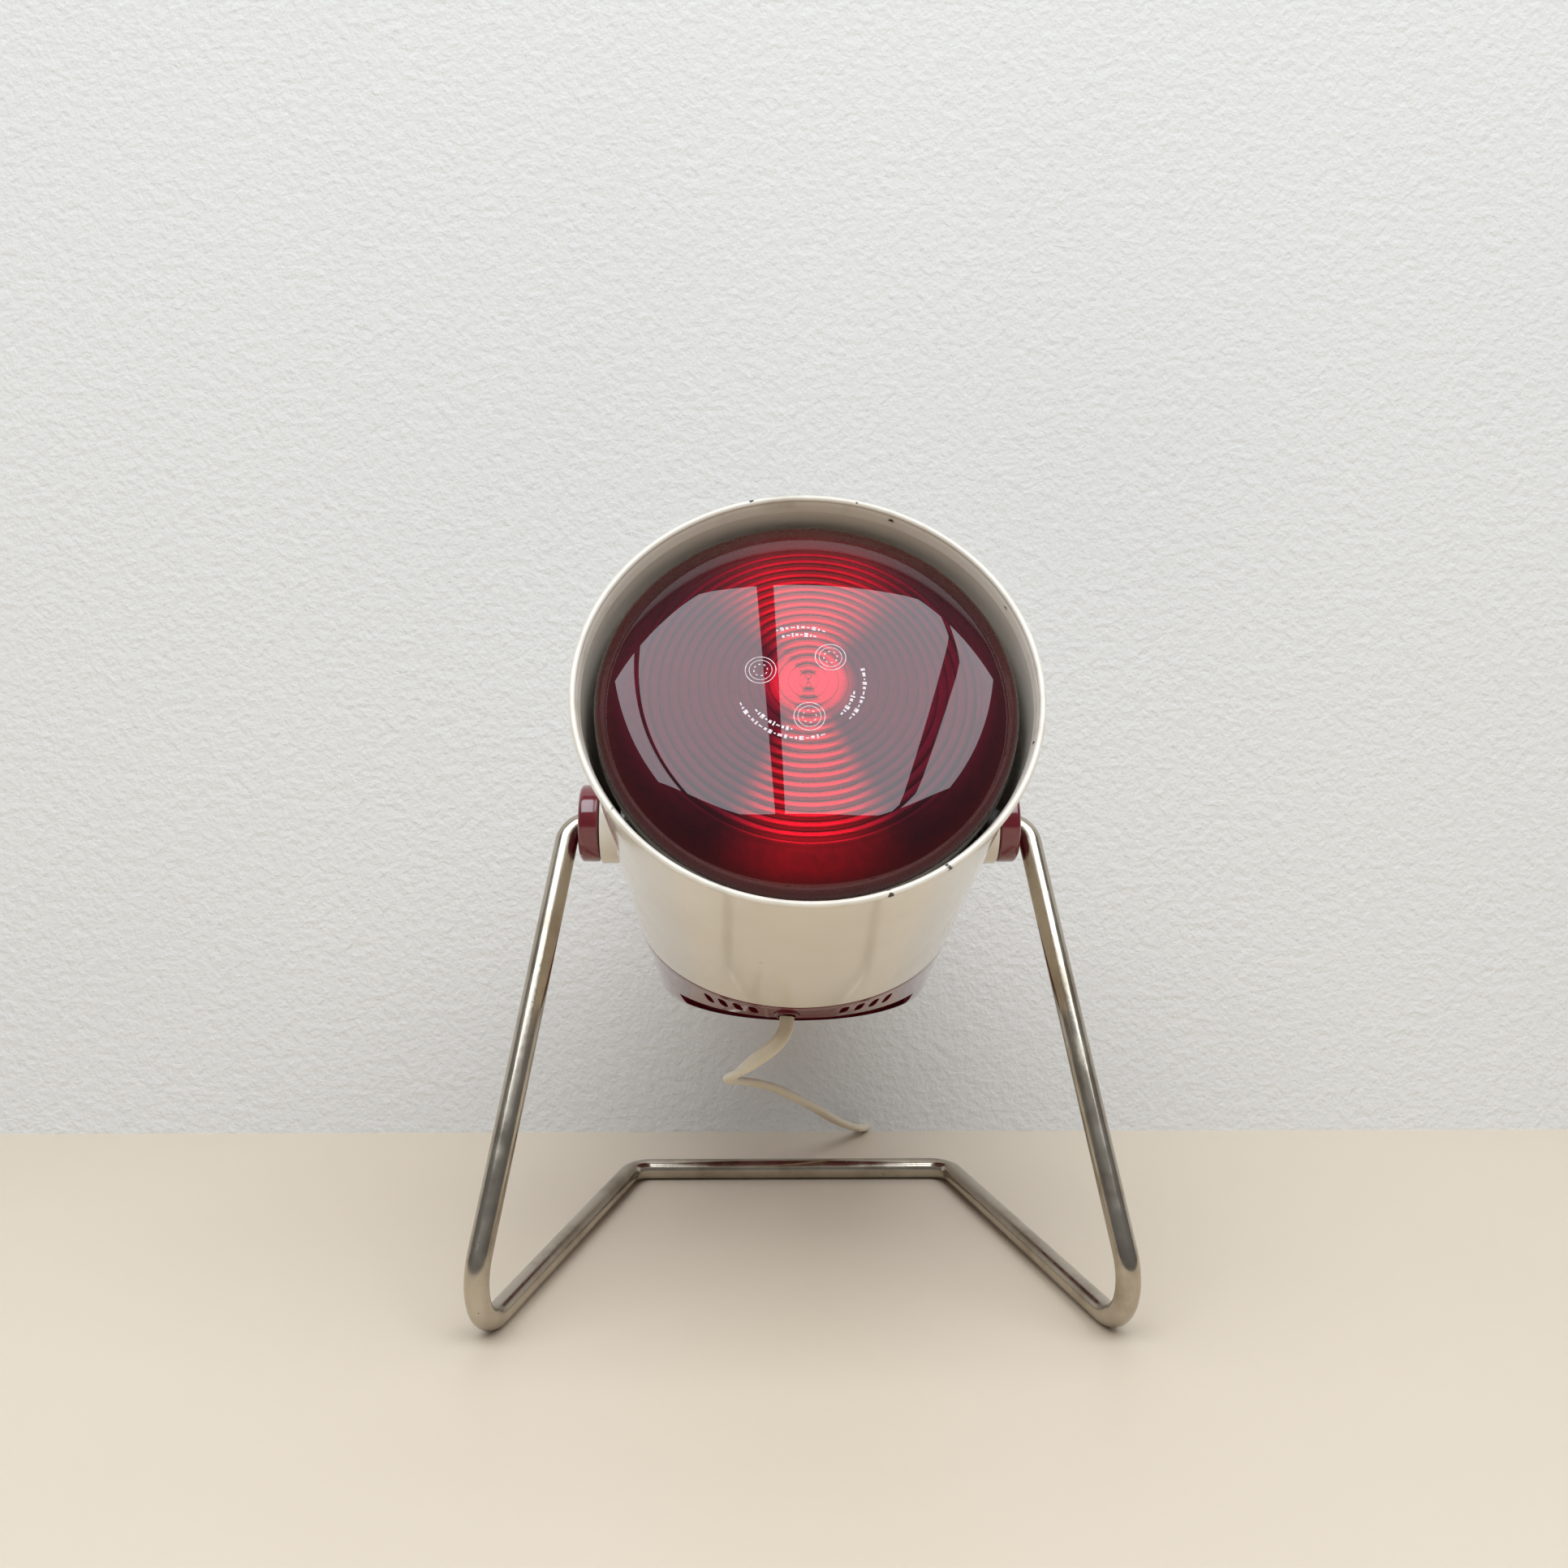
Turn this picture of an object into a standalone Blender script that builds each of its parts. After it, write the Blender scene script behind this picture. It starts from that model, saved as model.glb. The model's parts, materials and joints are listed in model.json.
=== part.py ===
"""Infrared therapy lamp: a reflector bulb in a tilting sheet-metal hood on a bent-rod stand.

Blender 4.5, metres, +Z up. The lens faces -Y. The origin lies on the table, under the middle of the
lamp without its free cord. Every piece of the head is modelled in the head's own frame, whose origin
is the tilt axis: X along that axis, Y from the lens towards the rear cap, Z up.
"""

import math

import bmesh
import bpy
from mathutils import Matrix, Vector

MM = 0.001
GAP = 0.3 * MM  # between pieces that touch
TURN = 2 * math.pi

# Stand: one rod, bent six times.
ROD_RADIUS = 3.75 * MM
FRONT_Y = -84.4 * MM  # front bends
ROD_SIDES = 12
ROD_TWIST_DEG = 6.6  # turns the rod's section so that it lies on one of its flats
STAND_DEPTH = 155.1 * MM  # front bends to rear bends
FRONT_HALF = 99.7 * MM
REAR_HALF = 60.7 * MM
FRONT_BEND = 16.4 * MM
REAR_BEND = 9.0 * MM
TOP_BEND = 8.0 * MM
LEG_TOP_HALF = 75.2 * MM
ROD_END_HALF = 53.0 * MM

# Tilt axis and the head's rest tilt.
PIVOT = Vector((0, FRONT_Y + 79.2 * MM, 148.0 * MM))
LENS_UP_DEG = 33.1

# Hood: a cone, sizes as distances behind its rim.
RIM_TO_PIVOT = 87.1 * MM
HOOD_RIM_RADIUS = 65.2 * MM
HOOD_TAPER = 0.06
HOOD_WALL = 0.8 * MM
BEAD_RADIUS = 1.0 * MM
BEAD_RING = 66.0 * MM
SEAM_Y = 60.9 * MM  # where the slanted joint with the cap crosses the axis
SEAM_SLANT = 0.8
SEAM_GAP = 0.5 * MM

# Rear cap: from the slanted joint to a flat, round-cornered end.
CAP_WALL = 2.4 * MM
END_CENTRE = Vector((0, 86.1 * MM, -26.2 * MM))
END_SLOPE = math.radians(30.1)
END_HALF_WIDTH = 47.3 * MM
END_HALF_LENGTH = 63.1 * MM
END_ROUNDING = 5.0 * MM
PILLAR_X = 24 * MM
PILLAR_Z = -4 * MM
PILLAR_RADIUS = 5.5 * MM
RECESS_RADIUS = 4.0 * MM
PILLAR_FLOOR = 3.0 * MM
CORD_HOLE = Vector((-4.0, 21.5, -58.6)) * MM
CORD_HOLE_RADIUS = 4.2 * MM
HOLE_LEAN = math.radians(4.4)
VENT_RADIUS = 2.9 * MM
VENT_SHARE = 0.80  # of the way from the joint to the cap's end
VENT_HALF_ANGLE = 52
SLOT_SIZE = (3.0 * MM, 6.0 * MM, 9.0 * MM)
SLOT_SHARE = 0.33
SLOT_STARTS = (-122.5, -74.5)
SLOT_PITCH_DEG = 5.6
SLOTS_A_GROUP = 4

# Pivot fittings, as distances from the middle of the lamp.
PIVOT_HOLE_RADIUS = 6.0 * MM
BUSH_RADIUS = 12.7 * MM
BUSH_OUTER = 71.6 * MM
BUSH_FACE = 65.0 * MM
BUSH_INNER = 58.3 * MM
PAD_RADIUS = 13.25 * MM
RUNNING_RADIUS = ROD_RADIUS + GAP

# Bulb (PAR38 outline, E27 cap) and lampholder: distances behind the rim.
BULB_RADIUS = 60.75 * MM
LENS_APEX = -4.0 * MM
LENS_SEAM = 9.4 * MM
THREAD_RADIUS = 13.1 * MM
THREAD_PITCH = 3.6 * MM
SHELL_RADIUS = 14.5 * MM
HOLDER_RADIUS = 21.0 * MM
HOLDER_REAR = 148.0 * MM
WEB = 1.5 * MM

# Free cord: flat twin lead, laid out of the cap and back to a coil behind the lamp.
CORD_RADIUS = 2.4 * MM
COIL_CENTRE = Vector((8, 173, 0)) * MM
COIL_RADIUS = 28 * MM
COIL_WIDTH = 15 * MM
COIL_HEIGHT = 12 * MM
PLUG_NECK = Vector((-40.0, 197.0, 6.9)) * MM

LEAD_ROUTE = (
    (-4.0, -19.2, 86.3), (-4.6, -21.3, 82.6), (-7.4, -24.2, 78.8), (-13.2, -24.4, 74.2),
    (-19.4, -18.6, 68.2), (-22.6, -6.8, 62.4), (-20.8, 6.6, 57.6), (-14.5, 22.0, 52.3),
    (-5.3, 41.3, 43.8), (7.6, 67.3, 29.6), (18.3, 90.3, 16.6), (27.6, 112.3, 6.4),
    (32.5, 125.5, 2.8), (35.2, 136.5, 2.6), (36.0, 147.6, 2.6),
)
TAIL_ROUTE = ((-17.6, 201.0, 2.6), (-23.0, 200.6, 3.2), (-30.0, 199.0, 5.4), (-39.6, 197.0, 6.9))


def clear_scene():
    for item in list(bpy.data.objects):
        bpy.data.objects.remove(item, do_unlink=True)


def new_collection(name):
    made = bpy.data.collections.new(name)
    bpy.context.scene.collection.children.link(made)
    return made


def material(name, colour, roughness, metallic=0.0, alpha=1.0):
    made = bpy.data.materials.get(name)
    if made is None:
        made = bpy.data.materials.new(name)
        made.use_nodes = True
        shader = made.node_tree.nodes["Principled BSDF"]
        shader.inputs["Base Color"].default_value = (*colour, 1.0)
        shader.inputs["Roughness"].default_value = roughness
        shader.inputs["Metallic"].default_value = metallic
        shader.inputs["Alpha"].default_value = alpha
    return made


def enamel():
    return material("cream_enamel", (0.80, 0.74, 0.64), 0.22)


def red_plastic():
    return material("maroon_plastic", (0.25, 0.012, 0.018), 0.18)


def nickel():
    return material("aged_nickel", (0.62, 0.58, 0.50), 0.22, 1.0)


def steel():
    return material("zinc_steel", (0.60, 0.60, 0.58), 0.38, 1.0)


def brass():
    return material("brass", (0.70, 0.52, 0.24), 0.30, 1.0)


def porcelain():
    return material("porcelain", (0.86, 0.84, 0.78), 0.25)


def ruby_glass():
    return material("ruby_glass", (0.45, 0.005, 0.010), 0.05, alpha=0.6)


def cord_plastic():
    return material("cord_plastic", (0.74, 0.66, 0.52), 0.42)


def from_bmesh(name, shape, surface, place=None, parent=None, collection=None):
    """An object from a bmesh, with one material, on its parent without an inverse."""
    mesh = bpy.data.meshes.new(name)
    bmesh.ops.recalc_face_normals(shape, faces=shape.faces)
    shape.to_mesh(mesh)
    shape.free()
    made = bpy.data.objects.new(name, mesh)
    if surface is not None:
        mesh.materials.append(surface)
    if place is not None:
        made.matrix_basis = place
    made.parent = parent
    (collection or PARTS).objects.link(made)
    return made


def along(axis, origin=(0, 0, 0)):
    """The matrix that stands a shape's own Z along an axis of its parent, at a point."""
    turn = Vector((0, 0, 1)).rotation_difference(Vector(axis))
    return Matrix.Translation(Vector(origin)) @ turn.to_matrix().to_4x4()


def rearward(behind_rim=0.0):
    """Stands a turned shape along the head's axis, its height counted from this far behind the rim."""
    return along((0, 1, 0), (0, behind_rim - RIM_TO_PIVOT, 0))


def turned(name, profile, surface, place, parent=None, steps=32, collection=None):
    """A body of revolution: a profile of (radius, height) points, closed unless both ends are on the axis."""
    on_axis = profile[0][0] == 0 and profile[-1][0] == 0
    around = profile if on_axis else [*profile, profile[0]]
    area = sum(a[0] * b[1] - b[0] * a[1] for a, b in zip(around, around[1:]))
    points = profile if area < 0 else profile[::-1]
    mesh = bpy.data.meshes.new(name)
    edges = [(i, i + 1) for i in range(len(points) - 1)]
    if not on_axis:
        edges.append((len(points) - 1, 0))
    mesh.from_pydata([(r, 0, h) for r, h in points], edges, [])
    mesh.materials.append(surface)
    made = bpy.data.objects.new(name, mesh)
    made.matrix_basis = place
    made.parent = parent
    (collection or PARTS).objects.link(made)
    screw = made.modifiers.new("turn", "SCREW")
    screw.axis = "Z"
    screw.steps = screw.render_steps = steps
    screw.use_merge_vertices = True
    screw.merge_threshold = 1e-5
    screw.use_smooth_shade = True
    return made


def ring(inner, outer, low, high):
    """A washer's profile."""
    return [(inner, low), (outer, low), (outer, high), (inner, high)]


def disc(radius, low, high):
    """A solid cylinder's profile."""
    return [(0, low), (radius, low), (radius, high), (0, high)]


def arc(centre, radius, start_deg, end_deg, count):
    """Points on an arc, as (radius, height)."""
    angles = [math.radians(start_deg + (end_deg - start_deg) * i / count) for i in range(count + 1)]
    return [(centre[0] + radius * math.cos(a), centre[1] + radius * math.sin(a)) for a in angles]


def block(name, size, place, surface, parent=None, bevel=0.0, collection=None):
    """A box with its edges rounded."""
    shape = bmesh.new()
    bmesh.ops.create_cube(shape, size=1.0, matrix=Matrix.Diagonal((*size, 1.0)))
    made = from_bmesh(name, shape, surface, place, parent, collection)
    if bevel:
        rounding = made.modifiers.new("edges", "BEVEL")
        rounding.width = bevel
        rounding.segments = 2
    return made


def rod(name, points, radius, surface, parent=None, resolution=2, twist=0.0):
    """A closed tube along points, as a mesh. A resolution of 1, 2 or 4 gives 6, 8 or 12 sides."""
    curve = bpy.data.curves.new(name + "_line", "CURVE")
    curve.dimensions = "3D"
    curve.bevel_depth = radius
    curve.bevel_resolution = resolution
    curve.use_fill_caps = True
    line = curve.splines.new("POLY")
    line.points.add(len(points) - 1)
    for slot, point in zip(line.points, points):
        slot.co = (*point, 1.0)
        slot.tilt = twist
    guide = bpy.data.objects.new(name + "_line", curve)
    PARTS.objects.link(guide)
    bpy.context.view_layer.update()
    graph = bpy.context.evaluated_depsgraph_get()
    mesh = bpy.data.meshes.new_from_object(guide.evaluated_get(graph))
    shape = bmesh.new()
    shape.from_mesh(mesh)
    bmesh.ops.remove_doubles(shape, verts=shape.verts, dist=1e-6)
    bpy.data.objects.remove(guide, do_unlink=True)
    return from_bmesh(name, shape, surface, None, parent)


def smooth_route(route, spacing):
    """Points at an even spacing along a Catmull-Rom curve through the route's own points."""
    knots = [Vector(p) * MM for p in route]
    padded = [2 * knots[0] - knots[1], *knots, 2 * knots[-1] - knots[-2]]
    fine = []
    for a, b, c, d in zip(padded, padded[1:], padded[2:], padded[3:]):
        for i in range(24):
            t = i / 24
            fine.append(0.5 * (2 * b + (c - a) * t + (2 * a - 5 * b + 4 * c - d) * t**2
                               + (3 * b - a - 3 * c + d) * t**3))
    fine.append(knots[-1])
    lengths = [0.0]
    for a, b in zip(fine, fine[1:]):
        lengths.append(lengths[-1] + (b - a).length)
    count = round(lengths[-1] / spacing)
    picked = []
    for i in range(count + 1):
        reach = lengths[-1] * i / count
        after = next((j for j, s in enumerate(lengths) if s >= reach - 1e-9), len(fine) - 1)
        before = max(after - 1, 0)
        span = lengths[after] - lengths[before]
        share = (reach - lengths[before]) / span if span else 0.0
        picked.append(fine[before].lerp(fine[after], share))
    return picked


def rounded_line(corners, bends, steps=6):
    """A line through corners with each inner one replaced by an arc of its bend radius."""
    points = [corners[0]]
    for before, corner, after, radius in zip(corners, corners[1:], corners[2:], bends):
        to_back = (before - corner).normalized()
        to_front = (after - corner).normalized()
        half = to_back.angle(to_front) / 2
        middle = corner + (to_back + to_front).normalized() * radius / math.sin(half)
        first = corner + to_back * radius / math.tan(half) - middle
        last = corner + to_front * radius / math.tan(half) - middle
        sweep = first.angle(last)
        for i in range(steps + 1):
            share = i / steps
            blend = (math.sin((1 - share) * sweep) * first + math.sin(share * sweep) * last)
            points.append(middle + blend / math.sin(sweep))
    points.append(corners[-1])
    return points


def boolean(target, tool, operation="DIFFERENCE"):
    tool.hide_render = True
    tool.display_type = "WIRE"
    step = target.modifiers.new(tool.name, "BOOLEAN")
    step.operation = operation
    step.solver = "EXACT"
    step.object = tool


def hood_radius(behind_pivot):
    return HOOD_RIM_RADIUS - HOOD_TAPER * (behind_pivot + RIM_TO_PIVOT)


def seam_point(angle, inset=0.0, shift=0.0):
    """Where the hood's cone, made smaller by inset, meets the slanted joint."""
    radius = (hood_radius(SEAM_Y) - inset) / (1 + HOOD_TAPER * SEAM_SLANT * math.sin(angle))
    height = radius * math.sin(angle)
    return Vector((radius * math.cos(angle), SEAM_Y + SEAM_SLANT * height + shift, height))


def end_point(angle, inset=0.0, lift=0.0):
    """A point of the cap's flat end, inset from its outline and lifted into the cap."""
    forward = Vector((0, math.cos(END_SLOPE), math.sin(END_SLOPE)))
    inward = Vector((0, -math.sin(END_SLOPE), math.cos(END_SLOPE)))
    across = Vector((1, 0, 0)) * (END_HALF_WIDTH - inset) * math.cos(angle)
    return END_CENTRE + across + forward * (END_HALF_LENGTH - inset) * math.sin(angle) + inward * lift


def make_stand():
    """One rod: in at the left pivot, down the leg, back, across, forward, up the leg, in again."""
    foot = FRONT_Y
    rear = FRONT_Y + STAND_DEPTH
    floor = ROD_RADIUS * math.cos(math.pi / ROD_SIDES)
    half = [
        Vector((ROD_END_HALF, PIVOT.y, PIVOT.z)),
        Vector((LEG_TOP_HALF, PIVOT.y, PIVOT.z)),
        Vector((FRONT_HALF, foot, floor)),
        Vector((REAR_HALF, rear, floor)),
    ]
    other = [Vector((-p.x, p.y, p.z)) for p in reversed(half)]
    bends = [TOP_BEND, FRONT_BEND, REAR_BEND]
    line = rounded_line(half + other, bends + bends[::-1])
    resolution = ROD_SIDES // 2 - 2
    rod("stand_frame", line, ROD_RADIUS, nickel(), None, resolution, math.radians(ROD_TWIST_DEG))


def side_place(side, x=0.0):
    """Stands a turned shape on the tilt axis, its height pointing out of the lamp on this side."""
    return along((side, 0, 0), (side * x, 0, 0))


def make_pivots(head, cone_cutter):
    for side, word in ((1, "right"), (-1, "left")):
        edge = 1.2 * MM
        bush = [
            (RUNNING_RADIUS, BUSH_INNER), (5.7 * MM, BUSH_INNER), (5.7 * MM, BUSH_FACE),
            (BUSH_RADIUS, BUSH_FACE), (BUSH_RADIUS, BUSH_OUTER - edge),
            *arc((BUSH_RADIUS - edge, BUSH_OUTER - edge), edge, 30, 90, 2),
            (6.2 * MM, BUSH_OUTER), (RUNNING_RADIUS + GAP, BUSH_OUTER - 3.4 * MM),
            (RUNNING_RADIUS, BUSH_OUTER - 3.8 * MM),
        ]
        turned(f"pivot_bush_{word}", bush, red_plastic(), side_place(side), head)
        pad = turned(f"pivot_pad_{word}", ring(PIVOT_HOLE_RADIUS, PAD_RADIUS, 55 * MM, 64.7 * MM),
                     enamel(), side_place(side), head)
        boolean(pad, cone_cutter)
        washer = ring(RUNNING_RADIUS, 9 * MM, 56.8 * MM, 57.9 * MM)
        turned(f"friction_washer_{word}", washer, steel(), side_place(side), head, 24)
        place = Matrix.Translation(PIVOT) @ side_place(side)
        clip = ring(RUNNING_RADIUS, 7.2 * MM, 55.2 * MM, 56.4 * MM)
        turned(f"retaining_clip_{word}", clip, steel(), place, None, 24)


def make_hood(head):
    rear = 205 * MM
    inner = HOOD_RIM_RADIUS - HOOD_WALL
    profile = [
        (hood_radius(rear - RIM_TO_PIVOT) - HOOD_WALL, rear),
        (inner - HOOD_TAPER * 1.5 * MM, 1.5 * MM),
        *[(r, -h) for r, h in arc((BEAD_RING, 0), BEAD_RADIUS, 180, -55, 9)],
        (HOOD_RIM_RADIUS - HOOD_TAPER * 1.5 * MM, 1.5 * MM),
        (hood_radius(rear - RIM_TO_PIVOT), rear),
    ]
    hood = turned("hood_shell", profile, enamel(), rearward(), head, 64)
    size = 300 * MM
    lean = Matrix.Rotation(-math.atan(SEAM_SLANT), 4, "X")
    middle = Vector((0, SEAM_Y - SEAM_GAP / 2, 0))
    place = Matrix.Translation(middle) @ lean @ Matrix.Translation((0, size / 2, 0))
    rear_cut = block("hood_rear_cut", (size, size, size), place, None, head, 0.0, CUTTERS)
    boolean(hood, rear_cut)
    hole = turned("hood_pivot_holes", disc(PIVOT_HOLE_RADIUS, -90 * MM, 90 * MM), None,
                  along((1, 0, 0)), head, 32, CUTTERS)
    boolean(hood, hole)


def make_cone_cutter(head):
    """The hood's outside, a gap larger, for the pads that lie against it."""
    low, high = 40 * MM, 140 * MM
    profile = [
        (0, low), (hood_radius(low - RIM_TO_PIVOT) + GAP, low),
        (hood_radius(high - RIM_TO_PIVOT) + GAP, high), (0, high),
    ]
    return turned("hood_clearance", profile, None, rearward(), head, 64, CUTTERS)


def cap_rings(inset, lift, shift):
    """The outline rings of one surface of the cap, from the joint to the middle of its end."""
    count = 48
    angles = [TURN * i / count for i in range(count)]
    rounding = END_ROUNDING - inset * 0.6
    rings = [[seam_point(a, inset, shift) for a in angles]]
    corners = []
    for a in angles:
        wall, corner = seam_point(a, inset, shift), end_point(a, inset, lift)
        start = corner + (wall - corner).normalized() * rounding
        finish = end_point(a, inset + rounding, lift)
        corners.append((start, corner, finish))
    for share in (0.0, 0.25, 0.5, 0.75, 1.0):
        rings.append([s * (1 - share) ** 2 + 2 * c * share * (1 - share) + f * share**2
                      for s, c, f in corners])
    return rings


def loft(shape, rings):
    """Joins rings of points by quads, and closes the last with one flat face."""
    made = [[shape.verts.new(p) for p in points] for points in rings]
    for first, second in zip(made, made[1:]):
        for i in range(len(first)):
            j = (i + 1) % len(first)
            shape.faces.new((first[i], first[j], second[j], second[i]))
    shape.faces.new(made[-1])
    return made[0]


def make_cap(head):
    """A shell between two unlike outlines: the hood's slanted oval and a flat oval end."""
    shape = bmesh.new()
    outside = loft(shape, cap_rings(0.0, 0.0, SEAM_GAP / 2))
    inside = loft(shape, cap_rings(CAP_WALL, CAP_WALL, SEAM_GAP / 2))
    for i in range(len(outside)):
        j = (i + 1) % len(outside)
        shape.faces.new((outside[i], outside[j], inside[j], inside[i]))
    cap = from_bmesh("rear_cap", shape, red_plastic(), None, head)
    make_pillars(cap, head)
    cut_cap(cap, head)


def pillar_start():
    return HOLDER_REAR - RIM_TO_PIVOT + WEB + 2 * GAP


def make_pillars(cap, head):
    """Two hollow pillars from the cap's end to the bracket, for the cap's screws."""
    inward = Vector((0, -math.sin(END_SLOPE), math.cos(END_SLOPE)))
    for side, word in ((1, "right"), (-1, "left")):
        low = pillar_start()
        shape = bmesh.new()
        bmesh.ops.create_cone(shape, cap_ends=True, segments=24, radius1=PILLAR_RADIUS,
                              radius2=PILLAR_RADIUS, depth=1.0)
        for vert in shape.verts:
            x, z = side * PILLAR_X + vert.co.x, PILLAR_Z + vert.co.y
            middle = END_CENTRE + inward * CAP_WALL / 2
            meets = middle.y + (z - middle.z) / math.tan(END_SLOPE)
            vert.co = Vector((x, meets if vert.co.z > 0 else low, z))
        pillar = from_bmesh(f"pillar_{word}", shape, None, None, head, CUTTERS)
        boolean(cap, pillar, "UNION")
        bore = turned(f"pillar_bore_{word}", disc(2.2 * MM, low - 5 * MM, low + 20 * MM), None,
                      along((0, 1, 0), (side * PILLAR_X, 0, PILLAR_Z)), head, 16, CUTTERS)
        boolean(cap, bore)
        recess = turned(f"pillar_recess_{word}", disc(RECESS_RADIUS, low + PILLAR_FLOOR, 170 * MM), None,
                        along((0, 1, 0), (side * PILLAR_X, 0, PILLAR_Z)), head, 20, CUTTERS)
        boolean(cap, recess)


def wall_point(angle, share, depth=0.0):
    """A point of the cap's wall, at a share of the way from the joint to its end."""
    return seam_point(angle, depth).lerp(end_point(angle, depth, depth), share)


def cut_cap(cap, head):
    """The cord hole, the long vent along the lower front edge and two groups of short vents."""
    hole = turned("cord_hole", disc(CORD_HOLE_RADIUS, -8 * MM, 8 * MM), None,
                  cord_hole_place(), head, 20, CUTTERS)
    boolean(cap, hole)
    steps = 22
    vent_angles = [math.radians(-90 + VENT_HALF_ANGLE * (2 * i / steps - 1)) for i in range(steps + 1)]
    line = [wall_point(a, VENT_SHARE, CAP_WALL / 2) for a in vent_angles]
    vent = rod("long_vent", line, VENT_RADIUS, None, head, 2)
    PARTS.objects.unlink(vent)
    CUTTERS.objects.link(vent)
    boolean(cap, vent)
    nearby = 0.02
    for group, start in zip(("left", "right"), SLOT_STARTS):
        for i in range(SLOTS_A_GROUP):
            angle = math.radians(start + i * SLOT_PITCH_DEG)
            middle = wall_point(angle, SLOT_SHARE, CAP_WALL / 2)
            slope = (wall_point(angle, 0.5) - wall_point(angle, 0.1)).normalized()
            ahead, behind = (wall_point(angle + s * nearby, SLOT_SHARE) for s in (1, -1))
            beside = (ahead - behind).normalized()
            out = slope.cross(beside).normalized()
            turn = Matrix((beside, slope, out)).transposed().to_4x4()
            bar = block(f"vent_{group}_{i}", SLOT_SIZE, Matrix.Translation(middle) @ turn, None, head,
                        0.0, CUTTERS)
            boolean(cap, bar)


def cord_hole_place():
    out = Vector((0, math.sin(HOLE_LEAN), -math.cos(HOLE_LEAN)))
    return along(out, CORD_HOLE)


def make_bulb(head):
    """Lens, reflector body, base and filament of the reflector bulb."""
    seam = LENS_SEAM
    shoulder = 8.0 * MM
    glass = 3.0 * MM
    edge = BULB_RADIUS - shoulder
    crown = edge**2 / (2 * (seam - shoulder - LENS_APEX)) + (seam - shoulder - LENS_APEX) / 2
    top = math.degrees(math.asin(edge / crown))
    outer = [(r, -h) for r, h in arc((0, -LENS_APEX - crown), crown, 90, 90 - top, 5)]
    outer[0] = (0, LENS_APEX)
    outer += [(edge + shoulder * math.cos(a), seam - shoulder * math.sin(a))
              for a in (math.radians(70 - 70 * i / 4) for i in range(5))]
    inner = [(r, -h) for r, h in arc((0, -LENS_APEX - crown), crown - glass, 90 - top, 90, 4)]
    inner[-1] = (0, LENS_APEX + glass)
    back = seam + 0.2 * MM
    lens = [*outer, (BULB_RADIUS, back), (BULB_RADIUS - glass, back), (BULB_RADIUS - glass, seam), *inner]
    turned("bulb_lens", lens, ruby_glass(), rearward(), head, 40)
    front = back + GAP
    wall = 2.2 * MM
    bowl = [(BULB_RADIUS, front), (BULB_RADIUS, 15 * MM), (57.5 * MM, 22 * MM), (51.5 * MM, 34 * MM),
            (43.5 * MM, 48 * MM), (34.0 * MM, 62 * MM), (25.0 * MM, 74 * MM), (21.0 * MM, 82 * MM),
            (20.0 * MM, 90 * MM)]
    hollow = [(r - wall, h) for r, h in reversed(bowl[:-1])]
    reflector = [(0, 90 * MM), *bowl[::-1], *hollow[::-1], (0, 82 * MM)]
    mirror = material("bulb_silver", (0.80, 0.78, 0.76), 0.12, 1.0)
    turned("bulb_reflector", reflector, mirror, rearward(), head, 40)
    skirt = [(10 * MM, 90.3 * MM), (19.6 * MM, 90.3 * MM), (19.0 * MM, 98 * MM), (13.6 * MM, 103.5 * MM),
             (10 * MM, 103.5 * MM)]
    turned("bulb_skirt", skirt, brass(), rearward(), head, 32)
    make_bulb_cap(head)
    make_filament(head)


def make_bulb_cap(head):
    """E27 screw cap with its thread, the glass insulator and the centre contact."""
    start, turns = 104.0 * MM, 6
    depth = 0.55 * MM
    thread = []
    for i in range(turns * 3 + 1):
        height = start + THREAD_PITCH * i / 3
        thread.append((THREAD_RADIUS - depth + depth * math.cos(TURN * i / 3), height))
    end = thread[-1][1]
    cap = [(10.5 * MM, start), *thread, (10.5 * MM, end + 1.5 * MM), (9.5 * MM, end + 1.5 * MM),
           (9.5 * MM, start)]
    turned("bulb_screw_cap", cap, steel(), rearward(), head, 20)
    black = material("black_glass", (0.02, 0.02, 0.025), 0.12)
    insulator = [(0, end - 1 * MM), (9.2 * MM, end - 1 * MM), (9.2 * MM, end + 1.6 * MM),
                 (5.2 * MM, end + 3.2 * MM), (0, end + 3.2 * MM)]
    turned("bulb_insulator", insulator, black, rearward(), head, 24)
    contact = [(0, end + 3.5 * MM), (4.4 * MM, end + 3.5 * MM), (3.6 * MM, end + 4.6 * MM),
               (0, end + 4.9 * MM)]
    turned("bulb_contact", contact, brass(), rearward(), head, 20)


def make_filament(head):
    """A coiled filament across two lead wires that stand on the bulb's glass floor."""
    half = 9 * MM
    y = 62 * MM - RIM_TO_PIVOT
    floor = 81.7 * MM - RIM_TO_PIVOT
    wire = 0.5 * MM
    tungsten = material("tungsten", (0.25, 0.24, 0.23), 0.45, 1.0)
    rod("bulb_filament", [(x * MM, y, 0) for x in (-7.6, -4, 0, 4, 7.6)], 1.0 * MM, tungsten, head, 1)
    for side, word in ((1, "right"), (-1, "left")):
        line = [(side * half, y - 1 * MM, 0), (side * half, y + 8 * MM, 0), (side * 4 * MM, floor, 0)]
        rod(f"bulb_lead_wire_{word}", line, wire, nickel(), head, 1)


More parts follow.
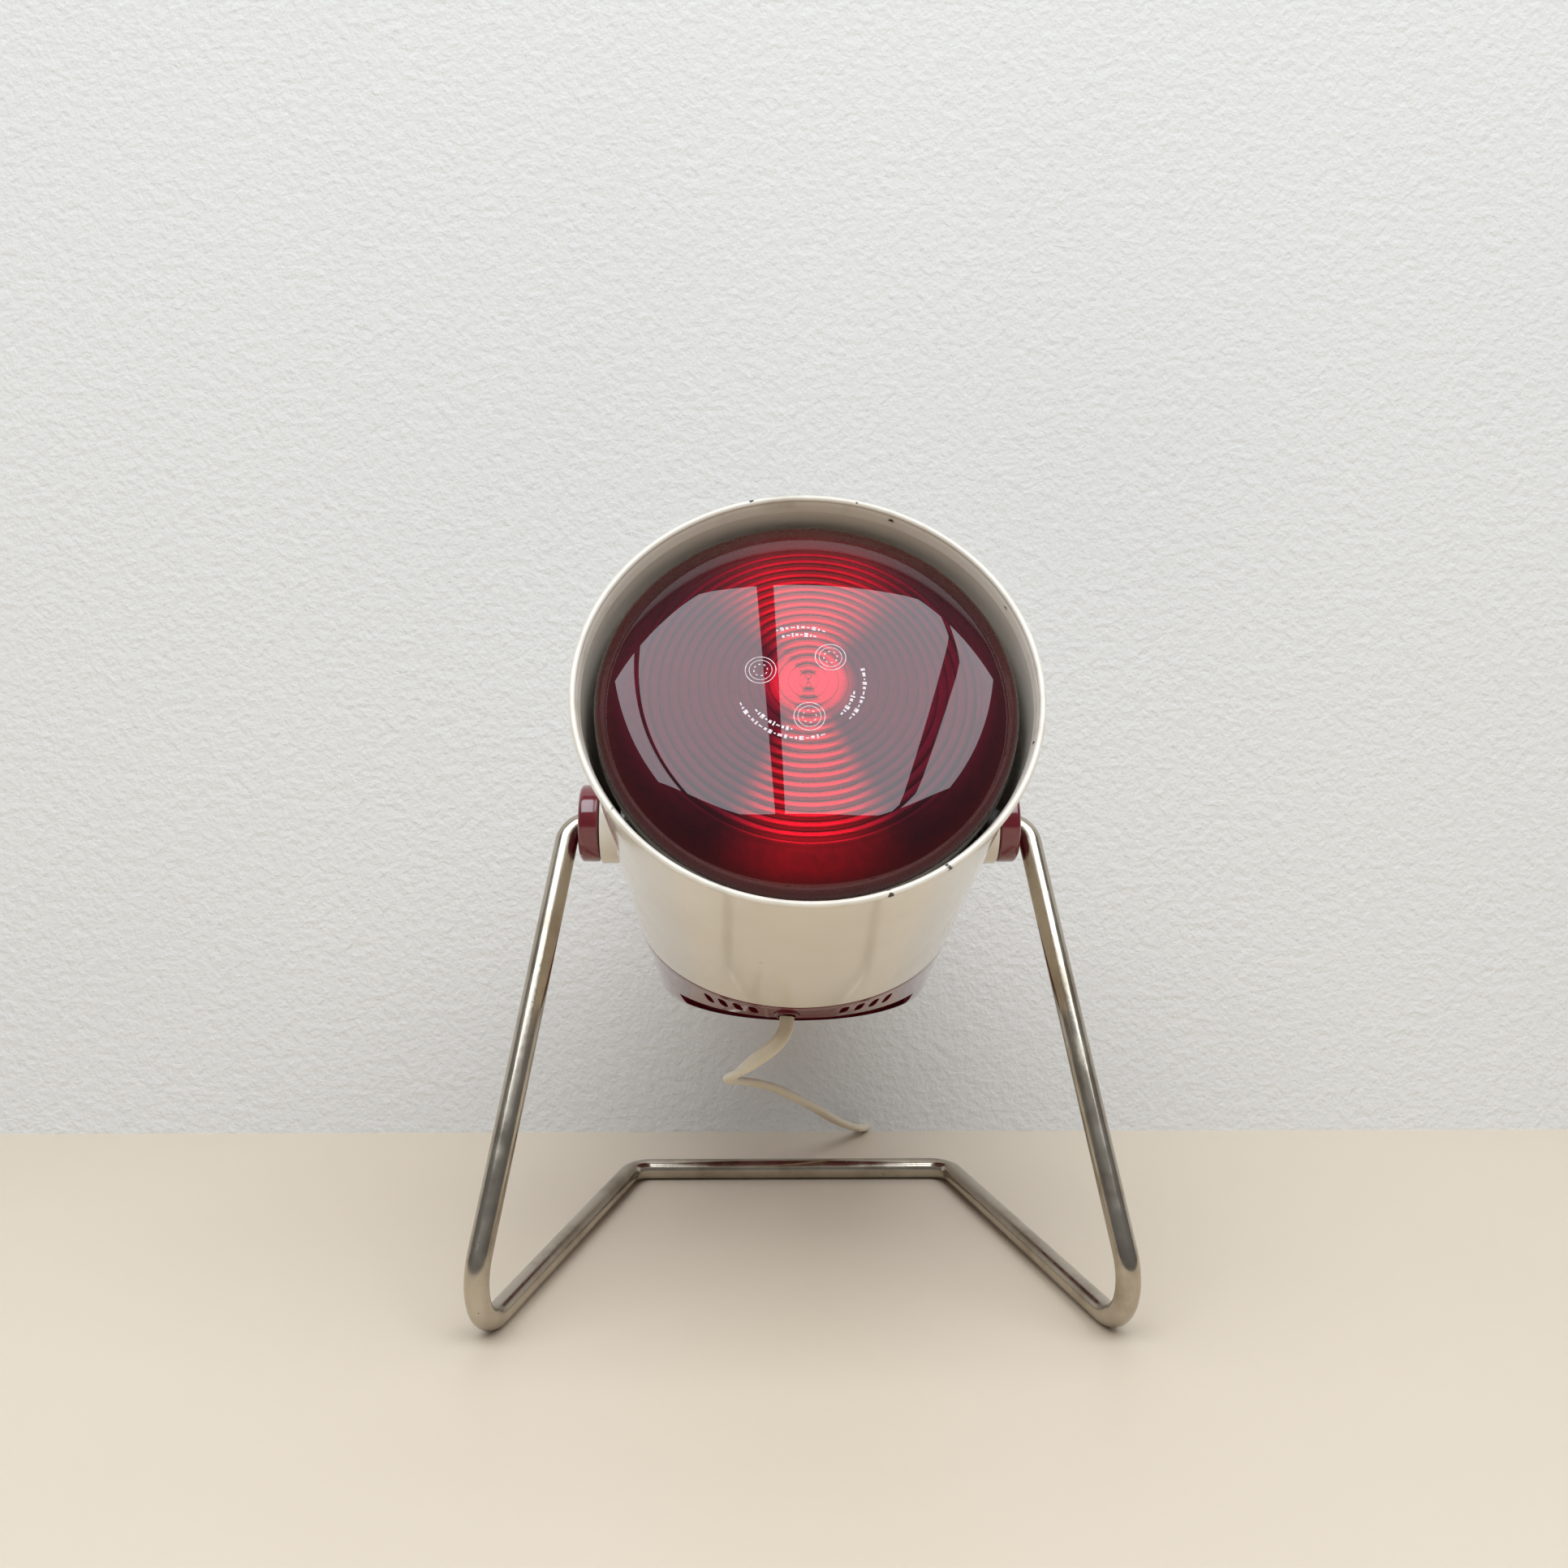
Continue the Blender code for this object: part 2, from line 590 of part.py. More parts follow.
def make_lampholder(head):
    """Porcelain body, threaded shell, centre contact, bracket, and their screws."""
    body = [
        (SHELL_RADIUS + GAP, 105.5 * MM), (HOLDER_RADIUS - 2 * MM, 105.5 * MM), (HOLDER_RADIUS, 108 * MM),
        (HOLDER_RADIUS, HOLDER_REAR - 1.5 * MM), (HOLDER_RADIUS - 1.5 * MM, HOLDER_REAR),
        (2.5 * MM, HOLDER_REAR), (2.5 * MM, 135.2 * MM), (SHELL_RADIUS + GAP, 135.2 * MM),
    ]
    turned("lampholder_body", body, porcelain(), rearward(), head, 36)
    shell = ring(13.6 * MM, SHELL_RADIUS, 107 * MM, 129 * MM)
    turned("lampholder_shell", shell, brass(), rearward(), head, 32)
    turned("lampholder_contact", disc(6 * MM, 132.9 * MM, 134.0 * MM), brass(), rearward(), head, 20)
    make_bracket(head)
    rear = HOLDER_REAR - RIM_TO_PIVOT
    for side, word in ((1, "right"), (-1, "left")):
        fix = [(0, rear + GAP), (1.7 * MM, rear + GAP), (1.7 * MM, rear + 2 * MM),
               (3.4 * MM, rear + 2 * MM + GAP), (3.2 * MM, rear + 3.8 * MM), (0, rear + 4.2 * MM)]
        turned(f"holder_screw_{word}", fix, steel(), along((0, 1, 0), (side * 12 * MM, 0, 0)), head, 16)
        terminal = [(0, rear + GAP), (2.6 * MM, rear + GAP), (2.6 * MM, rear + 1.8 * MM),
                    (2.0 * MM, rear + 2.4 * MM), (0, rear + 2.4 * MM)]
        turned(f"terminal_screw_{word}", terminal, brass(),
               along((0, 1, 0), (side * 8.5 * MM, 0, -16.4 * MM)), head, 16)


def make_bracket(head):
    """A steel strip across the hood, its ends turned forward against the hood's wall."""
    start = HOLDER_REAR - RIM_TO_PIVOT + GAP
    half, tip_half, length = 50.2 * MM, 54.4 * MM, 18 * MM
    low, high = -10 * MM, 10 * MM
    line = [(-tip_half, start - length), (-half, start), (half, start), (tip_half, start - length)]
    shape = bmesh.new()
    rows = [(shape.verts.new((x, y, low)), shape.verts.new((x, y, high))) for x, y in line]
    for (a, b), (c, d) in zip(rows, rows[1:]):
        shape.faces.new((a, c, d, b))
    bracket = from_bmesh("holder_bracket", shape, steel(), None, head)
    thick = bracket.modifiers.new("thickness", "SOLIDIFY")
    thick.thickness = WEB
    thick.offset = 0.0
    thick.use_even_offset = True
    bracket.location.y = WEB / 2
    for side, word in ((1, "right"), (-1, "left")):
        for spot, x, z, radius in (("fix", 12 * MM, 0, 2.0 * MM), ("tie", PILLAR_X, PILLAR_Z, 2.2 * MM)):
            hole = turned(f"bracket_{spot}_{word}", disc(radius, start - 3 * MM, start + 5 * MM), None,
                          along((0, 1, 0), (side * x, 0, z)), head, 16, CUTTERS)
            boolean(bracket, hole)


def make_cap_screws(head):
    floor = pillar_start() + PILLAR_FLOOR
    for side, word in ((1, "right"), (-1, "left")):
        tip = pillar_start() - 8 * MM
        screw = [(0, tip), (1.8 * MM, tip), (1.8 * MM, floor + GAP), (3.5 * MM, floor + GAP),
                 (3.5 * MM, floor + 1.8 * MM), (2.4 * MM, floor + 2.8 * MM), (0, floor + 3.0 * MM)]
        place = along((0, 1, 0), (side * PILLAR_X, 0, PILLAR_Z))
        turned(f"cap_screw_{word}", screw, steel(), place, head, 16)


def make_cord_entry(head):
    """Grommet in the cap's hole, the clamp behind it, the cord's inner end and its two wires."""
    place = cord_hole_place()
    grommet = ring(3.0 * MM, CORD_HOLE_RADIUS - GAP, -2.6 * MM, 0.6 * MM)
    turned("cord_grommet", grommet, red_plastic(), place, head, 20)
    sheath = [(-4.0, 21.2, -55.3), (-4.0, 20.8, -49.0), (-3.6, 22.6, -41.0), (-2.4, 29.0, -34.5),
              (-0.6, 37.0, -31.0)]
    rod("cord_inner_end", smooth_route(sheath, 3.0 * MM), CORD_RADIUS, cord_plastic(), head, 2)
    clamp = block("cord_clamp", (17 * MM, 7.5 * MM, 4.0 * MM),
                  place @ Matrix.Translation((0, 0, -6.9 * MM)), red_plastic(), head, 0.5 * MM)
    bore = turned("clamp_bore", disc(CORD_RADIUS + GAP, -15 * MM, 2 * MM), None, place, head, 16, CUTTERS)
    boolean(clamp, bore)
    for side, word in ((1, "right"), (-1, "left")):
        spot = place @ Matrix.Translation((side * 5.9 * MM, 0, -8.9 * MM - GAP))
        screw = [(0, 0), (2.2 * MM, 0), (1.8 * MM, -1.4 * MM), (0, -1.8 * MM)]
        turned(f"clamp_screw_{word}", screw, steel(), spot, head, 14)
    terminal_y = (HOLDER_REAR - RIM_TO_PIVOT) / MM + 3.9
    for side, word, tint in ((1, "right", (0.10, 0.18, 0.45)), (-1, "left", (0.30, 0.14, 0.06))):
        sleeve = material(f"wire_{word}", tint, 0.4)
        route = [(-0.4 + side * 1.3, 38.0, -30.6), (side * 3.0, 45.0, -28.6), (side * 6.5, 54.0, -25.6),
                 (side * 8.5, terminal_y - 0.4, -21.5), (side * 8.5, terminal_y, -16.4)]
        rod(f"inner_wire_{word}", smooth_route(route, 3.5 * MM), 1.0 * MM, sleeve, head, 1)


def make_cord():
    """The free cord: its lead, its coil, the tail to the plug, and the plug with two pins."""
    spacing = 2.4 * 2 * CORD_RADIUS
    rod("cord_lead", smooth_route(LEAD_ROUTE, spacing), CORD_RADIUS, cord_plastic())
    rod("cord_tail", smooth_route(TAIL_ROUTE, spacing), CORD_RADIUS, cord_plastic())
    inner, outer = COIL_RADIUS - COIL_WIDTH / 2, COIL_RADIUS + COIL_WIDTH / 2
    coil = [(inner, 2 * MM), (inner + 2 * MM, 0), (outer - 2 * MM, 0), (outer, 2 * MM),
            (outer, COIL_HEIGHT - 2 * MM), (outer - 2 * MM, COIL_HEIGHT), (inner + 2 * MM, COIL_HEIGHT),
            (inner, COIL_HEIGHT - 2 * MM)]
    turned("cord_coil", coil, cord_plastic(), Matrix.Translation(COIL_CENTRE), None, 32)
    make_plug()


def make_plug():
    """A flat two-pin plug, lying on its side beside the coil, pins pointing away from it."""
    length, width, thick = 34 * MM, 32 * MM, 13.7 * MM
    shape = bmesh.new()
    bmesh.ops.create_cube(shape, size=1.0, matrix=Matrix.Diagonal((length, width, thick, 1.0)))
    for vert in shape.verts:
        if vert.co.x > 0:
            vert.co.y *= 0.34
            vert.co.z *= 0.66
    place = Matrix.Translation(PLUG_NECK + Vector((-length / 2 - GAP, 0, 0)))
    body = from_bmesh("plug_body", shape, cord_plastic(), place)
    rounding = body.modifiers.new("edges", "BEVEL")
    rounding.width = 2.0 * MM
    rounding.segments = 3
    pin_length, pin_radius, half_pitch = 19 * MM, 2.0 * MM, 9.2 * MM
    for side, word in ((1, "right"), (-1, "left")):
        front = PLUG_NECK + Vector((-length - 2 * GAP, side * half_pitch, 0))
        pin = [(0, 0), (pin_radius, 0), (pin_radius, pin_length - 1.5 * MM),
               (pin_radius - 1 * MM, pin_length), (0, pin_length)]
        turned(f"plug_pin_{word}", pin, nickel(), along((-1, 0, 0), front), None, 16)


clear_scene()
PARTS = new_collection("infrared_lamp")
CUTTERS = new_collection("cutters")
CUTTERS.hide_render = True
head_frame = bpy.data.objects.new("head_frame", None)
head_frame.location = PIVOT
head_frame.rotation_euler.x = -math.radians(LENS_UP_DEG)
PARTS.objects.link(head_frame)

make_stand()
make_hood(head_frame)
make_pivots(head_frame, make_cone_cutter(head_frame))
make_cap(head_frame)
make_bulb(head_frame)
make_lampholder(head_frame)
make_cap_screws(head_frame)
make_cord_entry(head_frame)
make_cord()
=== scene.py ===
"""Looks of an infrared therapy lamp: a ruby reflector bulb in an enamelled hood on a bent-rod stand.

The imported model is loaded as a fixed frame. Finer pieces replace its visible nodes, each riding on the
same body, and every node gets a procedural material. Metres, +Z up, the lens faces -Y.
Pieces of the head are modelled in the head's own frame: X along the tilt axis, Y from the lens to the cap.
"""

import json
import math

import bmesh
import bpy
from mathutils import Matrix, Vector


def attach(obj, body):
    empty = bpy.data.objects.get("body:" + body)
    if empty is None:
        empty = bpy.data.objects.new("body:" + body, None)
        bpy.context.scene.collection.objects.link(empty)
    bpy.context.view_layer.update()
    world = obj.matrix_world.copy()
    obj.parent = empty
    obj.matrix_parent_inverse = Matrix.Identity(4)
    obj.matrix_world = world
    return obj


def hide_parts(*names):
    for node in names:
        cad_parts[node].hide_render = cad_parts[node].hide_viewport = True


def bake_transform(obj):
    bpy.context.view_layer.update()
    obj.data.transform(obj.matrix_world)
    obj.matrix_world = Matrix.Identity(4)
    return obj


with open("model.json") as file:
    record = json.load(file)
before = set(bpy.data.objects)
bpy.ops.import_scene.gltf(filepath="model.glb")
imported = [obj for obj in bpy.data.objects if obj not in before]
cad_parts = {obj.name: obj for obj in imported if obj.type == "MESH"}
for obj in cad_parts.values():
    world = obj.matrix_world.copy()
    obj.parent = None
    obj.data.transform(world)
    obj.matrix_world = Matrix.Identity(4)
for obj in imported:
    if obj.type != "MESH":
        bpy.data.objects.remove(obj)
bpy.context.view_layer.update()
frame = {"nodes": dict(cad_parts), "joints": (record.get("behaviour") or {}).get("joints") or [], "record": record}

MM = 0.001
TURN = 2 * math.pi
NODES = frame["nodes"]
PIVOT = Vector(frame["joints"][0]["pos_m"])
HEAD = Matrix.Translation(PIVOT) @ Matrix.Rotation(-math.radians(33.1), 4, "X")

# Stand rod
ROD_RADIUS = 3.75 * MM
ROD_END = 53.0 * MM
ROD_END_EDGE = 0.5 * MM
ROD_BENDS = (8.0 * MM, 16.4 * MM, 9.0 * MM)
LEG_TOP_HALF = 75.2 * MM
FRONT_HALF = 99.7 * MM
REAR_HALF = 60.7 * MM
FRONT_Y = -84.4 * MM
STAND_DEPTH = 155.1 * MM

# Hood and cap
RIM = -87.1 * MM
HOOD_RIM_RADIUS = 65.2 * MM
HOOD_TAPER = 0.06
HOOD_WALL = 0.8 * MM
BEAD_RING = 66.0 * MM
BEAD_RADIUS = 1.0 * MM
SEAM_Y = 60.9 * MM
SEAM_SLANT = 0.8
SEAM_GAP = 0.5 * MM
CAP_WALL = 2.4 * MM
END_CENTRE = Vector((0, 86.1, -26.2)) * MM
END_SLOPE = math.radians(30.1)
END_HALF_WIDTH = 47.3 * MM
END_HALF_LENGTH = 63.1 * MM
END_ROUNDING = 5.0 * MM
CORD_HOLE = Vector((-4.0, 21.5, -58.6)) * MM
CORD_HOLE_RADIUS = 4.2 * MM
HOLE_LEAN = math.radians(4.4)
HOLE_SIDES = 40
PILLAR_X = 24 * MM
PILLAR_Z = -4 * MM
PILLAR_START = 63.0 * MM
PILLAR_RADIUS = 5.5 * MM
# Radius, start and end of each hole along a pillar, from where the pillar starts
SCREW_HOLES = ((2.2 * MM, -5 * MM, 20 * MM), (4.0 * MM, 3 * MM, 107 * MM))
# A vent's share is how far down the cap's wall it lies, from the joint to the flat end
VENT_RADIUS = 2.9 * MM
VENT_SHARE = 0.80
VENT_HALF_ANGLE = 52
SLOT_RADIUS = 1.5 * MM
SLOT_SHARE = 0.33
SLOT_STARTS = (-122.5, -74.5)
SLOT_PITCH_DEG = 5.6
SLOTS_A_GROUP = 4

# Pivots: radii, and distances along the tilt axis
HOOD_HOLE_RADIUS = 6.0 * MM
BUSH_START = 58.3 * MM
BUSH_FOOT = 65.0 * MM
BUSH_FACE = 71.6 * MM
BUSH_BORE = 4.05 * MM
BUSH_NECK = 5.7 * MM
BUSH_RADIUS = 12.7 * MM
BUSH_SOFT = 0.8 * MM
PAD_FACE = 64.7 * MM
PAD_RADIUS = 13.25 * MM
PAD_BORE = 6.0 * MM
PAD_EDGE = 0.7 * MM
PAD_GAP = 0.3 * MM

# Bulb
BULB_RADIUS = 60.75 * MM
LENS_APEX = -4.0 * MM
LENS_SEAM = 9.4 * MM
LENS_SHOULDER = 8.0 * MM
LENS_EDGE = BULB_RADIUS - LENS_SHOULDER
LENS_RISE = LENS_SEAM - LENS_SHOULDER - LENS_APEX
LENS_CROWN = LENS_EDGE**2 / (2 * LENS_RISE) + LENS_RISE / 2
LENS_FLAT = 44.0 * MM
# Each bend's radius and the slope it ends at, in degrees
LENS_BENDS = ((42.7 * MM, 30.0), (5.25 * MM, 90.0))
LENS_GLASS = 3.6 * MM
STEP_PITCH = 2.8 * MM
STEP_HEIGHT = 0.9 * MM
STEP_RELIEF = 0.45 * MM
BOWL_WALL = 2.2 * MM
BOWL_OUTLINE = (
    (60.75, 9.95), (60.75, 15), (57.5, 22), (51.5, 34), (43.5, 48), (34, 62), (25, 74), (21, 82), (20, 89.8),
)

# Marks on the lens, about their own centre: rows of dashes (radius, width, stretches in degrees), and rings
MARKS_X = -2.3 * MM
DASH_ROWS = (
    (18.0 * MM, 0.40 * MM, ((202, 288), (318, 372), (66, 112))),
    (15.4 * MM, 0.46 * MM, ((216, 262), (316, 346), (72, 106))),
)
DASH_LENGTHS_DEG = (3.2, 1.8, 4.0, 2.6)
DASH_GAP_DEG = 1.9
BADGE_TURNS = (282, 162, 42)
BADGE_REACH = 11.6 * MM
BADGE_RINGS = ((4.3 * MM, 0.22 * MM), (3.2 * MM, 0.18 * MM))
TICK_RADIUS = 1.9 * MM
TICK_WIDTH = 0.3 * MM

# Free cord: a flat twin lead
CORD_HALF_WIDTH = 2.4 * MM
CORD_HALF_THICKNESS = 1.5 * MM
GROOVE_WIDTH = 0.7 * MM
GROOVE_DEPTH = 0.16
LEAD_ROUTE = (
    (-4.0, -19.2, 86.3), (-4.6, -21.3, 82.6), (-7.4, -24.2, 78.8), (-13.2, -24.4, 74.2),
    (-19.4, -18.6, 68.2), (-22.6, -6.8, 62.4), (-20.8, 6.6, 57.6), (-14.5, 22.0, 52.3),
    (-5.3, 41.3, 43.8), (7.6, 67.3, 29.6), (18.3, 90.3, 16.6), (27.6, 112.3, 6.4),
    (32.5, 125.5, 2.4), (34.4, 137.0, 1.6),
)
TAIL_ROUTE = (
    (-9.0, 201.2, 7.4), (-17.6, 201.0, 5.0), (-24.0, 200.4, 4.3), (-31.0, 198.9, 5.4), (-39.6, 197.0, 6.9),
)
COIL_CENTRE = Vector((8, 173, 0)) * MM
COIL_TURN_RADII = (32.8, 28.0, 23.2, 23.2, 28.0, 32.8, 32.8, 28.0, 28.0)
COIL_START_DEG = -35.0
COIL_END_DEG = 90.0 + 8 * 360.0
LAYER_HEIGHT = 3.0 * MM
# Counted in points of the finished path: where the lead starts to turn flat, and over how many points
LEVEL_FROM = 30
LEVEL_OVER = 70
PLUG_NECK = Vector((-40.0, 197.0, 6.9)) * MM
# How far along the plug, half its width and half its height there, in mm
PLUG_STATIONS = (
    (0.0, 3.1, 2.2), (2.0, 4.3, 3.2), (3.2, 3.6, 2.6), (5.0, 4.9, 3.7), (6.2, 4.2, 3.1), (8.2, 5.8, 4.5),
    (11.0, 8.2, 5.4), (16.0, 11.6, 6.2), (22.0, 14.6, 6.8), (28.0, 15.9, 6.85), (32.6, 16.0, 6.85),
    (33.7, 15.4, 6.4), (34.0, 14.4, 5.6),
)

# Stage: the window's panes are (left, right) edges of one rectangle overhead
STAGE_REACH = 3.0
WALL_Y = 0.1265
WALL_TOP = 2.4
WINDOW_HEIGHT = 1.5
WINDOW_NEAR = -0.23
WINDOW_FAR = -1.60
WINDOW_PANES = ((-1.30, -0.88), (-0.79, -0.115), (-0.060, 0.565), (0.635, 1.30))
WINDOW_WATTS_PER_M2 = 14.0
CAMERA_PLACE = Vector((-0.01656, -0.51946, 0.2129))
CAMERA_PITCH = math.radians(5.755)
CAMERA_YAW = math.radians(1.29)
CAMERA_ROLL = math.radians(0.24)
CAMERA_LENS = 36.06
CAMERA_SENSOR = 36.0


# ---------------------------------------------------------------- node trees


def put(tree, kind, values=None, **settings):
    """A node with its settings and its inputs, each a constant or another node's socket."""
    made = tree.nodes.new(kind)
    for key, value in settings.items():
        setattr(made, key, value)
    for key, value in (values or {}).items():
        socket = made.inputs[key]
        if isinstance(value, bpy.types.NodeSocket):
            tree.links.new(value, socket)
        else:
            socket.default_value = value
    return made


def calc(tree, operation, a, b=0.0, clamp=False):
    return put(tree, "ShaderNodeMath", {0: a, 1: b}, operation=operation, use_clamp=clamp).outputs[0]


def noise(tree, place, scale, detail=3.0, roughness=0.5):
    values = {"Vector": place, "Scale": scale, "Detail": detail, "Roughness": roughness}
    return put(tree, "ShaderNodeTexNoise", values).outputs["Fac"]


def span(tree, value, low, high, to_low=0.0, to_high=1.0):
    """Maps a stretch of a value onto another, clamped, with soft ends."""
    values = {"Value": value, "From Min": low, "From Max": high, "To Min": to_low, "To Max": to_high}
    made = put(tree, "ShaderNodeMapRange", values, interpolation_type="SMOOTHSTEP")
    return made.outputs["Result"]


def mix(tree, share, first, second):
    made = tree.nodes.new("ShaderNodeMix")
    made.data_type = "RGBA"
    sockets = (made.inputs[0], made.inputs[6], made.inputs[7])
    for socket, value in zip(sockets, (share, first, second)):
        if isinstance(value, bpy.types.NodeSocket):
            tree.links.new(value, socket)
        elif isinstance(value, tuple):
            socket.default_value = (*value, 1.0)
        else:
            socket.default_value = value
    return made.outputs[2]


def bump(tree, height, strength, distance):
    values = {"Height": height, "Strength": strength, "Distance": distance}
    return put(tree, "ShaderNodeBump", values).outputs["Normal"]


def local_place(tree):
    return put(tree, "ShaderNodeTexCoord").outputs["Object"]


def stretched(tree, place, scale):
    """The place with each axis scaled, for grain that runs one way."""
    return put(tree, "ShaderNodeMapping", {"Vector": place, "Scale": scale}).outputs["Vector"]


def split(tree, place):
    return put(tree, "ShaderNodeSeparateXYZ", {"Vector": place}).outputs


def surface(name, **values):
    """A material with a Principled shader set to these values; returns it, its tree and the shader."""
    made = bpy.data.materials.new(name)
    made.use_nodes = True
    tree = made.node_tree
    shader = tree.nodes["Principled BSDF"]
    for key, value in values.items():
        socket = shader.inputs[key.replace("_", " ")]
        socket.default_value = (*value, 1.0) if isinstance(value, tuple) else value
    return made, tree, shader


def wire(tree, shader, **sources):
    for key, source in sources.items():
        tree.links.new(source, shader.inputs[key.replace("_", " ")])


# ---------------------------------------------------------------- materials


def specks(tree, place, scale, size, chosen):
    """Scattered small spots: 1 inside a spot. Only cells whose random value is above chosen have one."""
    cells = put(tree, "ShaderNodeTexVoronoi", {"Vector": place, "Scale": scale})
    picked = calc(tree, "GREATER_THAN", split(tree, cells.outputs["Color"])[0], chosen)
    ragged = calc(tree, "MULTIPLY", noise(tree, place, scale * 3.0), 0.5)
    spread = calc(tree, "ADD", cells.outputs["Distance"], ragged)
    inside = span(tree, spread, size + 0.28, size + 0.20)
    return calc(tree, "MULTIPLY", picked, inside)


def make_enamel():
    """Stove enamel: cream, slightly yellowed in places, orange peel, specks, chips along the rim."""
    made, tree, shader = surface("cream_enamel", Coat_Weight=0.35, Coat_Roughness=0.06)
    place = local_place(tree)
    behind = calc(tree, "SUBTRACT", split(tree, place)[1], RIM)
    cloudy = noise(tree, place, 22.0, 4.0)
    colour = mix(tree, span(tree, cloudy, 0.35, 0.7), (0.80, 0.745, 0.66), (0.76, 0.69, 0.585))
    patches = span(tree, noise(tree, place, 90.0), 0.45, 0.8)
    dirt = calc(tree, "MULTIPLY", span(tree, behind, 10 * MM, 1.2 * MM), patches)
    colour = mix(tree, calc(tree, "MULTIPLY", dirt, 0.35), colour, (0.30, 0.25, 0.19))
    dust = specks(tree, place, 160.0, 0.04, 0.93)
    colour = mix(tree, calc(tree, "MULTIPLY", dust, 0.35), colour, (0.20, 0.15, 0.10))
    chips = specks(tree, place, 190.0, 0.16, 0.72)
    chips = calc(tree, "MULTIPLY", span(tree, behind, 2.2 * MM, 1.4 * MM), chips)
    colour = mix(tree, chips, colour, (0.035, 0.025, 0.020))
    peel = noise(tree, place, 420.0, 2.0)
    height = calc(tree, "SUBTRACT", calc(tree, "MULTIPLY", peel, 0.06), chips)
    rough = span(tree, noise(tree, place, 60.0, 5.0), 0.3, 0.75, 0.10, 0.22)
    wire(tree, shader, Base_Color=colour, Normal=bump(tree, height, 0.35, 0.0004),
         Roughness=calc(tree, "ADD", rough, calc(tree, "MULTIPLY", chips, 0.4)))
    return made


def make_maroon():
    """Polished phenolic plastic: deep red, faintly mottled, with fine wiping marks."""
    made, tree, shader = surface("maroon_plastic", Coat_Weight=1.0, Coat_Roughness=0.03)
    place = local_place(tree)
    mottle = noise(tree, place, 70.0, 5.0, 0.6)
    colour = mix(tree, span(tree, mottle, 0.3, 0.7), (0.115, 0.003, 0.009), (0.170, 0.006, 0.015))
    dusty = specks(tree, place, 260.0, 0.05, 0.9)
    colour = mix(tree, calc(tree, "MULTIPLY", dusty, 0.12), colour, (0.45, 0.35, 0.33))
    rubbed = noise(tree, stretched(tree, place, (40.0, 420.0, 420.0)), 1.0, 4.0)
    wire(tree, shader, Base_Color=colour, Roughness=span(tree, rubbed, 0.3, 0.75, 0.12, 0.28),
         Normal=bump(tree, noise(tree, place, 240.0), 0.12, 0.0002))
    return made


def make_nickel():
    """Old nickel plate: warm grey, drawn lengthwise, with brown tarnish and dark pinholes."""
    made, tree, shader = surface("nickel_rod", Metallic=1.0)
    place = local_place(tree)
    tarnish = span(tree, noise(tree, place, 38.0, 6.0, 0.65), 0.42, 0.72)
    colour = mix(tree, tarnish, (0.51, 0.455, 0.375), (0.34, 0.285, 0.215))
    pits = specks(tree, place, 420.0, 0.07, 0.80)
    colour = mix(tree, calc(tree, "MULTIPLY", pits, 0.7), colour, (0.10, 0.075, 0.05))
    drawn = noise(tree, stretched(tree, place, (900.0, 900.0, 60.0)), 1.0, 3.0)
    rough = span(tree, noise(tree, place, 120.0, 4.0), 0.3, 0.75, 0.13, 0.27)
    height = calc(tree, "ADD", drawn, calc(tree, "MULTIPLY", pits, -1.5))
    wire(tree, shader, Base_Color=colour, Normal=bump(tree, height, 0.10, 0.0002),
         Roughness=calc(tree, "ADD", rough, calc(tree, "MULTIPLY", pits, 0.3)))
    return made


def make_metal(name, light, dark, rough):
    """A plain plated or rolled metal with cloudy tone and light scratches."""
    made, tree, shader = surface(name, Metallic=1.0)
    place = local_place(tree)
    cloud = span(tree, noise(tree, place, 130.0, 5.0), 0.35, 0.7)
    scratch = noise(tree, stretched(tree, place, (150.0, 1500.0, 1500.0)), 1.0, 3.0)
    wire(tree, shader, Base_Color=mix(tree, cloud, light, dark),
         Roughness=span(tree, scratch, 0.25, 0.8, rough * 0.75, rough * 1.4),
         Normal=bump(tree, scratch, 0.12, 0.0002))
    return made


